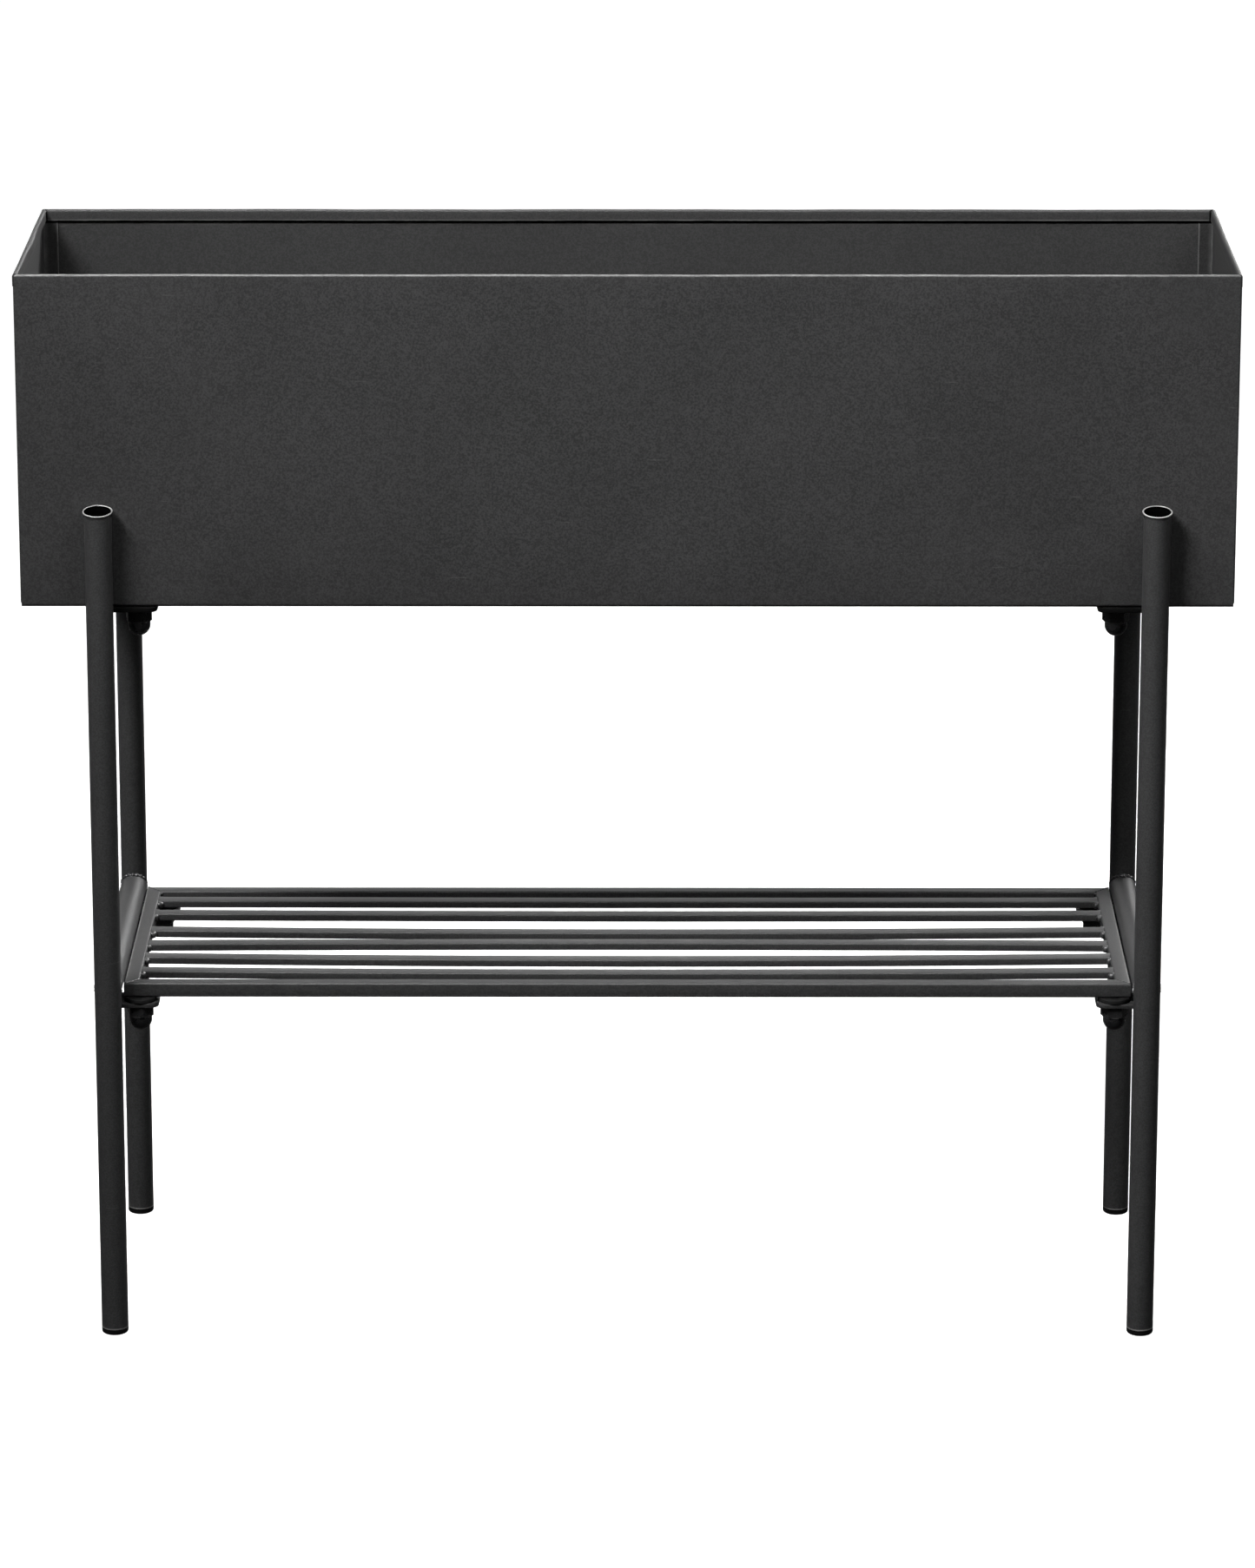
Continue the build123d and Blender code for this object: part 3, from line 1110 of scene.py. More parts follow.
        # Painted highlight lines at the flange's free edge and bend, on the hem's seam and faintly on the
        # crest.
        lines = 0.7 * ridge(out, free, 0.9 * MM) + 0.25 * ridge(out, bend_line, 0.7 * MM)
        seam = 0.6 * self.seam_light(depth, height, top)
        crest = 0.06 * self.crest(out, height, face, top)
        mark(piece, "wear", crest + lines * (height < joint) + seam * (height > joint))
        # Painted shade over the flanges, in the hem's slit and on the inner side.
        on_flange = (out < bend_line) & (height < joint + 0.1 * MM)
        shaded = np.where(height > joint - 1.5 * MM, 1.0, 0.5 * (out > free + 0.7 * MM))
        slit = self.seam_dark(depth, height, top) * (height > joint)
        dull = 1.3 * self.inside_shade * self.is_inside(depth, height, box.low[2])
        mark(piece, "soot", np.maximum.reduce([shaded * on_flange, slit, dull]))

    def is_inside(self, depth: Array, height: Array, foot: float) -> Array:
        """Which points lie on the trough's inner side, where the coat is painted darker and duller as shade.

        Args:
            depth: How far inside the outer face the points are.
            height: Their heights.
            foot: The floor's underside.

        Returns:
            True for each such point.
        """
        return (depth > 0.6 * self.sheet) & (height > foot + 0.6 * self.sheet)

    def seam_light(self, depth: Array, height: Array, top: float) -> Array:
        """The painted highlight lines along the hem's free edge and just under it.

        Args:
            depth: How far inside the outer face the points are.
            height: Their heights.
            top: The rim's height.

        Returns:
            The painted highlight there.
        """
        edge = top - self.hem
        hem = ridge(height, edge + 0.2 * MM, 0.7 * MM) * (depth > self.sheet + 1.0 * MM)
        wall = ridge(height, edge - 3.0 * MM, 0.9 * MM) * (np.abs(depth - self.sheet) < 0.2 * MM)
        return 0.28 * hem + 0.18 * wall

    def seam_dark(self, depth: Array, height: Array, top: float) -> Array:
        """The painted shade in the slit behind the hem's free edge.

        Args:
            depth: How far inside the outer face the points are.
            height: Their heights.
            top: The rim's height.

        Returns:
            The painted shade there.
        """
        edge = top - self.hem
        inside = (depth > self.sheet - 0.2 * MM) & (depth < self.sheet + 1.1 * MM)
        above = smooth_step((height - (edge - 2.4 * MM)) / (0.6 * MM))
        return inside * above * (height < top - 1.1 * self.fold)

    def corner_dark(self, points: Array, box: NodeBox, ends: NodeBox, top: float) -> Array:
        """The painted shade lines in the open mitres and along the joint down the right-hand edge.

        Args:
            points: Rows of points.
            box: The wrap's box.
            ends: The right-hand pan's box.
            top: The rim's height.

        Returns:
            The painted shade there.
        """
        x, y, z = np.abs(points[:, 0]), np.abs(points[:, 1]), points[:, 2]
        at_mitre = 1 - smooth_step((ends.high[0] - (box.high[1] - y) - self.mitre_gap - x) / (1.5 * MM))
        on_edge = 1 - smooth_step((box.high[0] - points[:, 0]) / (0.7 * MM))
        return np.where(z > top - self.pan_joint, at_mitre, 0.9 * on_edge)

    def crest(self, out: Array, height: Array, face: float, top: float) -> Array:
        """How near a point is to the fold's outer crest, where a painted highlight goes.

        Args:
            out: How far out from the trough's middle the points are.
            height: Their heights.
            face: Where the outer face is.
            top: The rim's height.

        Returns:
            1 on the crest, 0 a little below it and inside.
        """
        turn = np.degrees(np.arctan2(height - (top - self.fold), out - (face - self.fold)))
        near = smooth_step((self.crest_half - np.abs(turn - self.crest_middle)) / 24)
        return np.where(height > top - 1.3 * self.fold, near, 0)

    def rim(
        self, skin: Skin, face: float, half: float, top: float, joint: float, habit: tuple[float, float]
    ) -> None:
        """Adds the pan's upper edge: the strip section carried along Y and cut along the mitre.

        Args:
            skin: Where it is added.
            face: How far out the web's outer face is.
            half: Half the pan's width.
            top: The rim's height.
            joint: The height where it starts.
            habit: Where the rim's waves start, and how far its hem bows inwards.
        """
        line, out = self.strip_section(face, top, joint, False)
        t = np.linspace(-1, 1, 61)[None, :]
        wall_half = half + self.sheet
        sides = []
        for edge in self.skins(line, out):
            x, z = edge[:, :1], edge[:, 1:]
            reach = np.minimum(half, wall_half - (face - x) - self.mitre_gap)
            y = reach * t
            out_by, up_by = self.rim_wave(y, z + 0 * y, top, habit[0])
            inner_share = smooth_step((face - x - 1.2 * self.fold) / self.fold)
            bow = habit[1] * inner_share * np.exp(-((y / (0.22 * half)) ** 2))
            sides.append(np.stack([x + out_by - bow, y, z + up_by], 2))
        self.plate(skin, *sides)

    def build(self) -> None:
        """Makes the wrap and both pans."""
        self.wrap()
        for side in Side:
            self.pan(side)


# ---------------------------------------------------------------- legs, feet and cross tubes


@dataclass
class Legs:
    """The four tube legs with their foot plugs, and the cross tubes between them. Sizes are in metres."""

    finishes: Finishes
    wall: float = 1.0 * MM
    lip: float = 0.5 * MM
    lip_out: float = 0.9 * MM
    lip_tilt: float = 9.0
    cut_round: float = 0.3 * MM
    plug_round: float = 1.6 * MM
    stem: float = 7.6 * MM
    rib: float = 7.95 * MM
    rib_half: float = 0.8 * MM
    rib_count: int = 3
    plug_flange: float = 4.0 * MM
    foot_wear: float = 0.8

    def leg(self, corner: Corner) -> bpy.types.Object:
        """Makes a leg: a tube turned from a closed profile, its upper edge rolled into a small lip.

        The top was cut a little askew, so it falls to the front: z moves by tan(tilt) (y - cy) there.

        Args:
            corner: Which leg.

        Returns:
            The leg.
        """
        box = NodeBox.of(f"{corner.name}_leg")
        radius, low, high = box.size[0] / 2, box.low[2], box.high[2]
        inner = radius - self.wall
        lip_centre = (radius + self.lip_out - self.lip, high - self.lip)
        foot_rings = low + np.array([0.8, 1.1]) * MM
        neck = high - np.array([11.0, 8.0, 5.0]) * self.lip
        profile = np.concatenate(
            [
                arc((inner + self.cut_round, low + self.cut_round), self.cut_round, 180, 270, 3),
                arc((radius - self.cut_round, low + self.cut_round), self.cut_round, -90, 0, 4),
                np.stack([np.full(2, radius), foot_rings], 1),
                np.stack([np.full(3, radius), neck], 1),
                arc(lip_centre, self.lip, -35, 190, 14),
                np.stack([np.full(3, inner), neck[::-1]], 1),
            ]
        )
        grid = lathe(profile, box.centre[:2], 96)
        share = smooth_step((grid[:, :, 2] - neck[0]) / (6 * self.lip))
        slope = math.tan(math.radians(self.lip_tilt))
        grid[:, :, 2] += share * slope * (grid[:, :, 1] - box.centre[1])
        piece = Skin().grid(grid, close_u=True, close_v=True).build(f"{corner.name}_leg_tube")

        points = points_of(piece.data)
        height = points[:, 2]
        level = height - slope * (points[:, 1] - box.centre[1])
        out = np.linalg.norm(points[:, :2] - box.centre[:2], axis=1)
        # Painted highlight round the lip; the paler ring at the tube's foot is rubbed wear.
        lip_highlight = smooth_step((level - (high - 1.5 * self.lip)) / self.lip)
        foot_rub = self.foot_wear * smooth_step((foot_rings[1] - height) / (0.4 * MM))
        mark(piece, "wear", lip_highlight + foot_rub)
        # Painted shade under the lip and over the tube's inner wall.
        under_lip = (out < radius + self.lip_out - 0.8 * self.lip) & (level < high - 0.75 * self.lip)
        mark(piece, "soot", (under_lip & (height > high - 6 * self.lip)) | (out < inner + 0.4 * MM))
        return self.finishes.dress(piece, Slot.POWDER_COAT, [f"{corner.name}_leg"])

    def plug(self, corner: Corner) -> bpy.types.Object:
        """Makes a foot plug: a rounded flange, then a stem with three rings that grip the tube.

        Args:
            corner: Which leg's plug.

        Returns:
            The plug.
        """
        node = f"{corner.name}_foot_plug"
        box = NodeBox.of(node)
        radius, low, high = box.size[0] / 2, box.low[2], box.high[2]
        shoulder = low + self.plug_flange
        pitch = (high - shoulder) / self.rib_count
        ring = np.array([[self.stem, -1.2], [self.rib, -1.0], [self.rib, 1.0], [self.stem, 1.2]])
        middles = shoulder + pitch * (np.arange(self.rib_count) + 0.5)
        rings = np.stack(
            [np.tile(ring[:, 0], self.rib_count), (middles[:, None] + self.rib_half * ring[:, 1]).ravel()], 1
        )
        profile = np.concatenate(
            [
                [[0.0, low]],
                arc((radius - self.plug_round, low + self.plug_round), self.plug_round, -90, 0, 8),
                arc((radius - 0.25 * MM, shoulder - 0.25 * MM), 0.25 * MM, 0, 90, 3),
                [[self.stem, shoulder]],
                rings,
                [[self.stem, high - 0.6 * MM], [self.stem - 0.6 * MM, high], [0.0, high]],
            ]
        )
        skin = Skin().grid(lathe(profile, box.centre[:2], 72), close_u=True)
        return self.finishes.dress(skin.build(f"{corner.name}_foot_cap"), Slot.FOOT_PLASTIC, [node])

    def cross_tube(self, side: Side) -> bpy.types.Object:
        """Makes a cross tube with coped ends.

        P(a, t) = (cx + r cos a, t y_end(a), cz + r sin a), where y_end is the leg's Y less the half chord
        sqrt(R^2 - (r cos a)^2) that the leg takes up at that place.

        Args:
            side: Which tube.

        Returns:
            The tube.
        """
        node = f"{side.name.lower()}_cross_tube"
        box = NodeBox.of(node)
        leg = NodeBox.of(f"front_{side.name.lower()}_leg")
        leg_y, leg_radius = abs(leg.centre[1]), leg.size[0] / 2
        a = np.linspace(0, 2 * math.pi, 96, endpoint=False)[:, None]
        t = np.linspace(-1, 1, 9)[None, :]
        walls = []
        for radius in (box.size[0] / 2, box.size[0] / 2 - self.wall):
            y = t * (leg_y - np.sqrt(leg_radius**2 - (radius * np.cos(a)) ** 2))
            x = box.centre[0] + radius * np.cos(a) + 0 * y
            z = box.centre[2] + radius * np.sin(a) + 0 * y
            walls.append(np.stack([x, y, z], 2))
        outer, inner = walls
        skin = Skin().grid(outer, close_u=True).grid(inner, close_u=True)
        for end in (0, -1):
            skin.grid(np.stack([outer[:, end], inner[:, end]], 1), close_u=True)
        return self.finishes.dress(skin.build(f"{node}_coped"), Slot.POWDER_COAT, [node])

    def build(self) -> None:
        """Makes all legs, plugs and cross tubes."""
        for corner in CORNERS:
            self.leg(corner)
            self.plug(corner)
        for side in Side:
            self.cross_tube(side)


# ---------------------------------------------------------------- tabs on the legs


@dataclass
class Tabs:
    """The flat tabs that carry the trough and the shelf. Sizes are in metres."""

    finishes: Finishes
    corner: float = 6.0 * MM
    edge: float = 0.35 * MM
    hole: float = 5.5 * MM
    trough_shade: float = 0.93
    shelf_shade: float = 0.15
    rays: int = 240

    def outline(self, box: NodeBox, signs: Array, leg: NodeBox, hole: Array, inset: float) -> Array:
        """A tab's outline in plan, read outwards from its hole along even angles.

        For each angle the outline is where the ray leaves the plate: the nearest of its four sides,
        its two rounded free corners and the leg's circle.

        Args:
            box: The tab's box.
            signs: The corner's signs, which turn the outline into the +X +Y corner and back.
            leg: The leg's box.
            hole: The hole's centre.
            inset: How far inside the true outline the points lie.

        Returns:
            Rows of X and Y.
        """
        a = np.linspace(0, 2 * math.pi, self.rays, endpoint=False)
        ray = np.stack([np.cos(a), np.sin(a)], 1)
        low = np.minimum(box.low[:2] * signs, box.high[:2] * signs) + inset
        high = np.maximum(box.low[:2] * signs, box.high[:2] * signs) - inset
        start = hole * signs
        with np.errstate(divide="ignore", invalid="ignore"):
            sides = np.where(ray > 0, (high - start) / ray, (low - start) / ray)
        far = np.nanmin(np.where(np.abs(ray) < 1e-9, np.inf, sides), axis=1)
        round_by = self.corner - inset
        for middle_y in (low[1] + round_by, high[1] - round_by):
            middle = np.array([low[0] + round_by, middle_y])
            reach = self.circle_exit(start, ray, middle, round_by)
            tip = start + ray * far[:, None]
            outer_side = (tip[:, 1] - middle_y) * (middle_y - (low[1] + high[1]) / 2) > 0
            far = np.where((tip[:, 0] < middle[0]) & outer_side, reach, far)
        centre = leg.centre[:2] * signs
        near = self.circle_entry(start, ray, centre, leg.size[0] / 2 + inset)
        far = np.minimum(far, near)
        return (start + ray * far[:, None]) * signs

    @staticmethod
    def circle_exit(start: Array, ray: Array, middle: Array, radius: float) -> Array:
        """Where rays from inside leave a circle: b + sqrt(b^2 - c), with b and c from the usual quadratic.

        Args:
            start: Where the rays start.
            ray: Their unit directions.
            middle: The circle's middle.
            radius: Its radius.

        Returns:
            The distance along each ray.
        """
        b = ray @ (middle - start)
        c = (middle - start) @ (middle - start) - radius**2
        return b + np.sqrt(np.maximum(b * b - c, 0))

    @staticmethod
    def circle_entry(start: Array, ray: Array, middle: Array, radius: float) -> Array:
        """Where rays from outside meet a circle: b - sqrt(b^2 - c), or infinity where they miss.

        Args:
            start: Where the rays start.
            ray: Their unit directions.
            middle: The circle's middle.
            radius: Its radius.

        Returns:
            The distance along each ray.
        """
        b = ray @ (middle - start)
        c = (middle - start) @ (middle - start) - radius**2
        root = b * b - c
        return np.where((root > 0) & (b > 0), b - np.sqrt(np.maximum(root, 0)), np.inf)

    def tab(self, corner: Corner, kind: str, hole: Array) -> bpy.types.Object:
        """Makes one tab: rings from the hole's upper edge out, down over the rounded rim and back below.

        Args:
            corner: Which leg it is on.
            kind: What it carries: trough or shelf.
            hole: The hole's centre.

        Returns:
            The tab.
        """
        node = f"{corner.name}_{kind}_tab"
        box = NodeBox.of(node)
        leg = NodeBox.of(f"{corner.name}_leg")
        low, high = box.low[2], box.high[2]
        insets = (self.edge, 0.3 * self.edge, 0.0)
        rim = [self.outline(box, corner.signs, leg, hole, inset) for inset in insets]
        a = np.linspace(0, 2 * math.pi, self.rays, endpoint=False)
        turned = np.stack([np.cos(a), np.sin(a)], 1) * corner.signs
        bore = hole + turned * self.hole
        levels = [
            (bore, high),
            (rim[0], high),
            (rim[1], high - 0.3 * self.edge),
            (rim[2], high - self.edge),
            (rim[2], low + self.edge),
            (rim[1], low + 0.3 * self.edge),
            (rim[0], low),
            (bore, low),
        ]
        rings = np.stack([np.concatenate([xy, np.full((len(xy), 1), z)], 1) for xy, z in levels])
        skin = Skin().grid(rings, close_u=True, close_v=True)
        piece = skin.build(f"{corner.name}_{kind}_tab_plate")
        # Painted shade: the trough's tabs, in shade under the trough, are painted near-black, the shelf's a
        # little darker.
        shade = self.trough_shade if kind == "trough" else self.shelf_shade
        mark(piece, "soot", np.full(len(piece.data.vertices), shade))
        return self.finishes.dress(piece, Slot.POWDER_COAT, [node])

    def build(self) -> None:
        """Makes the eight tabs round the fasteners' centres."""
        for kind, fastener in (("trough", "trough_washers"), ("shelf", "shelf_studs")):
            centre = Fasteners.centres(fastener)
            for corner in CORNERS:
                self.tab(corner, kind, centre[corner.name])


# ---------------------------------------------------------------- the shelf


@dataclass
class Shelf:
    """The shelf: four mitred square tubes and six thin slats, none of them quite straight.

    Sizes are in metres, but slat_shift and slat_bow are in millimetres. They say how far each slat is off
    its place and how far its middle bows back, from the front slat to the rear one.
    """

    finishes: Finishes
    wall: float = 1.0 * MM
    rail_round: float = 1.5 * MM
    slat_round: float = 0.8 * MM
    slat_shift: tuple[float, ...] = (-0.9, -0.6, -2.9, -2.6, 4.3, 3.6)
    slat_bow: tuple[float, ...] = (-3.0, -4.5, 4.4, -4.2, -0.6, 0.5)
    slat_sag: float = 0.5 * MM
    slat_wave: float = 0.12 * MM
    long_rail_highlight: float = 0.03
    short_rail_highlight: float = 0.7
    slat_rub: float = 0.4
    stations: int = 61

    def rail(self, name: str) -> bpy.types.Object:
        """Makes one rail: a rounded square ring along the rail, each end cut on the 45 degree line.

        P(s, t) = t (L - depth(s)) along the rail, where depth is how far the point is inside the frame.

        Args:
            name: Which rail: front, rear, left or right.

        Returns:
            The rail.
        """
        node = f"shelf_{name}_rail"
        box = NodeBox.of(node)
        along = 0 if name in ("front", "rear") else 1
        across = 1 - along
        outward = math.copysign(1, box.centre[across])
        outer_face = max(abs(box.low[across]), abs(box.high[across]))
        half_length = box.size[along] / 2
        t = np.linspace(-1, 1, 17)[None, :]
        skin = Skin()
        rings = []
        for inset in (0.0, self.wall):
            size = box.size[2] - 2 * inset
            ring = rounded_box(size, size, max(self.rail_round - inset, 0.3 * MM), 5)
            c = box.centre[across] + ring[:, :1]
            reach = half_length - (outer_face - outward * c)
            grid = np.zeros((len(ring), t.shape[1], 3))
            grid[:, :, along] = reach * t
            grid[:, :, across] = c
            grid[:, :, 2] = box.centre[2] + ring[:, 1:]
            rings.append(grid)
            skin.grid(grid, close_u=True)
        outer, inner = rings
        for end in (0, -1):
            skin.grid(np.stack([outer[:, end], inner[:, end]], 1), close_u=True)
        piece = skin.build(f"shelf_{name}_rail_tube")
        # Painted highlight along the rail's outer upper edge, strong on the short rails.
        rim = np.array([outer_face, box.high[2]]) - 0.35 * self.rail_round
        points = points_of(piece.data)
        off = np.stack([outward * points[:, across], points[:, 2]], 1) - rim
        rail_highlight = self.long_rail_highlight if along == 0 else self.short_rail_highlight
        mark(piece, "wear", rail_highlight * ridge(np.linalg.norm(off, axis=1), 0.0, 1.3 * MM))
        return self.finishes.dress(piece, Slot.POWDER_COAT, [node])

    def slat_line(self, index: int, x: Array, box: NodeBox) -> tuple[Array, Array]:
        """A slat's middle line: shift + bow (1 - u^2) in Y and a little sag in Z, with u = x / half length.

        Args:
            index: The slat's number, 1 at the front.
            x: Places along it.
            box: The CAD slat's box.

        Returns:
            The line's Y and Z.
        """
        u = x / (box.size[0] / 2)
        bulge = 1 - u**2
        y = box.centre[1] + MM * (self.slat_shift[index - 1] + self.slat_bow[index - 1] * bulge)
        return y, box.centre[2] - self.slat_sag * bulge

    def slat(self, index: int) -> bpy.types.Object:
        """Makes one slat: a rounded bar carried along its bowed line, with a painted highlight along its
        upper rear edge.

        Args:
            index: The slat's number, 1 at the front.

        Returns:
            The slat.
        """
        node = f"shelf_slat_{index}"
        box = NodeBox.of(node)
        x = np.linspace(box.low[0], box.high[0], self.stations)
        y, z = self.slat_line(index, x, box)
        ring = rounded_box(box.size[1], box.size[2], self.slat_round, 4)
        wave = self.slat_wave * waver(x, 0.31, index)
        rings = np.stack(
            [
                np.broadcast_to(x[:, None], (len(x), len(ring))),
                y[:, None] + ring[None, :, 0] + wave[:, None],
                z[:, None] + ring[None, :, 1],
            ],
            2,
        )
        piece = Skin().solid(rings).build(f"shelf_slat_{index}_bar")
        points = points_of(piece.data)
        middle, level = self.slat_line(index, points[:, 0], box)
        off = np.stack([points[:, 1] - middle, points[:, 2] - level], 1) - ring[len(ring) // 8]
        # Painted highlight along the slat's upper rear edge.
        mark(piece, "wear", self.slat_rub * ridge(np.linalg.norm(off, axis=1), 0.0, 0.9 * MM))
        return self.finishes.dress(piece, Slot.POWDER_COAT, [node])

    def build(self) -> None:
        """Makes the four rails and six slats."""
        for name in ("front", "rear", "left", "right"):
            self.rail(name)
        for index in range(1, len(self.slat_bow) + 1):
            self.slat(index)


# ---------------------------------------------------------------- welds


@dataclass
class Welds:
    """The beads that join tubes, tabs, rails and slats. Sizes are in metres."""

    finishes: Finishes
    shelf: Shelf
    tube_bead: float = 1.5 * MM
    tab_bead: float = 1.3 * MM
    slat_bead: float = 2.6 * MM
    mitre_bead: float = 0.75 * MM
    puddle: float = 2.6 * MM

    def around_cross_tubes(self) -> None:
        """Runs a bead where each cross tube meets a leg.

        The bead's middle is the curve y = Y - sqrt(R^2 - (r cos a)^2) round the tube, and the bead is
        M(a) + w(a) (out(a) cos b + Y sin b): w ripples with each puddle and thins where the two tubes
        run past each other, at their outermost sides.
        """
        b = np.linspace(0, 2 * math.pi, 12, endpoint=False)[None, :]
        a = np.linspace(0, 2 * math.pi, 200, endpoint=False)[:, None]
        for side in Side:
            word = side.name.lower()
            box = NodeBox.of(f"{word}_cross_tube")
            leg = NodeBox.of(f"front_{word}_leg")
            radius, leg_radius = box.size[0] / 2, leg.size[0] / 2
            ripple = 1 + 0.16 * np.sin(2 * math.pi * a * radius / self.puddle + side.value)
            width = self.tube_bead * ripple * (0.12 + 0.88 * np.abs(np.sin(a)) ** 0.8)
            chord = np.sqrt(np.maximum(leg_radius**2 - (radius * np.cos(a)) ** 2, 0)) + 0.2 * width
            skin = Skin()
            for end in End:
                reach = radius + 0.15 * width + width * np.cos(b)
                y = end.value * (abs(leg.centre[1]) - chord) + width * np.sin(b)
                x, z = box.centre[0] + reach * np.cos(a), box.centre[2] + reach * np.sin(a)
                skin.grid(np.stack([x, y, z], 2), close_u=True, close_v=True)
            self.finishes.dress(skin.build(f"{word}_cross_tube_welds", 60), Slot.POWDER_COAT)

    def beside_tabs(self) -> None:
        """Runs a bead on the upper and lower side of each tab along the leg."""
        for corner in CORNERS:
            leg = NodeBox.of(f"{corner.name}_leg")
            skin = Skin()
            for kind in ("trough", "shelf"):
                box = NodeBox.of(f"{corner.name}_{kind}_tab")
                inner = np.min(np.abs([box.low[1], box.high[1]]))
                front = np.max(np.abs([box.low[1], box.high[1]]))
                across = abs(leg.centre[1])
                radius = leg.size[0] / 2 + 0.25 * self.tab_bead
                start = 180 + math.degrees(math.asin(np.clip((across - front) / radius, -1, 1)))
                stop = 268 if inner < across - radius else 250
                xy = arc((abs(leg.centre[0]), across), radius, start, stop, 40) * corner.signs
                for z in (box.low[2], box.high[2]):
                    path = np.concatenate([xy, np.full((len(xy), 1), z)], 1)
                    bead = weld_run(path, self.tab_bead, self.puddle, z * 900, False)
                    skin.grid(bead, close_v=True)
            self.finishes.dress(skin.build(f"{corner.name}_tab_welds", 60), Slot.POWDER_COAT)

    def at_slat_ends(self) -> None:
        """Sets a drop of weld in each corner between a slat's side and the short rail."""
        for side in Side:
            skin = Skin()
            for index in range(1, len(self.shelf.slat_bow) + 1):
                box = NodeBox.of(f"shelf_slat_{index}")
                x = side.value * box.size[0] / 2
                y, _ = self.shelf.slat_line(index, np.array([x]), box)
                for edge in (-1, 1):
                    size = self.slat_bead * (1 + 0.22 * math.sin(2.7 * index + 1.9 * edge + side.value))
                    out = edge * (box.size[1] / 2 + 0.1 * size)
                    corner = np.array([x - side.value * 0.25 * size, y[0] + out])
                    skin.grid(self.drop(corner, size, box.high[2] - 0.25 * MM, box.size[2]), close_u=True)
            self.finishes.dress(skin.build(f"{side.name.lower()}_slat_welds", 60), Slot.POWDER_COAT)

    @staticmethod
    def drop(centre: Array, size: float, top: float, height: float) -> Array:
        """A drop of weld metal: a ball flattened above, drawn down below.

        r(v) = size sin v and z(v) runs from the top down, by cos v times the height.

        Args:
            centre: Its X and Y.
            size: Its radius.
            top: Its highest point.
            height: How far down it reaches.

        Returns:
            The grid of points, closed along its first direction.
        """
        v = np.linspace(0, math.pi, 9)
        profile = np.stack([size * np.sin(v) ** 0.7, top - height * (1 - np.cos(v)) / 2], 1)
        return lathe(profile, centre, 18)

    def on_mitres(self) -> None:
        """Runs a low bead over each of the frame's mitres: across its top and down its inner corner."""
        skin = Skin()
        long_rail = NodeBox.of("shelf_front_rail")
        short_rail = NodeBox.of("shelf_left_rail")
        top = long_rail.high[2] - 0.45 * self.mitre_bead
        outer = np.array([long_rail.high[0], short_rail.high[1]])
        rail = long_rail.size[1]
        inner = outer - rail
        for corner in CORNERS:
            t = np.linspace(0.04, 1, 30)[:, None]
            across = np.concatenate([outer + (inner - outer) * t, np.full((30, 1), top)], 1)
            down = np.linspace(top, long_rail.low[2] + 1.5 * MM, 16)[1:, None]
            inside = np.concatenate([np.broadcast_to(inner, (15, 2)), down], 1)
            for path, size in ((across, self.mitre_bead), (inside, 1.7 * self.mitre_bead)):
                path = path * np.append(corner.signs, 1)
                skin.grid(weld_run(path, size, self.puddle, corner.side.value, False), close_v=True)
        self.finishes.dress(skin.build("shelf_mitre_welds", 60), Slot.POWDER_COAT)

    def build(self) -> None:
        """Makes every weld."""
        self.around_cross_tubes()
        self.beside_tabs()
        self.at_slat_ends()
        self.on_mitres()


# ---------------------------------------------------------------- fasteners


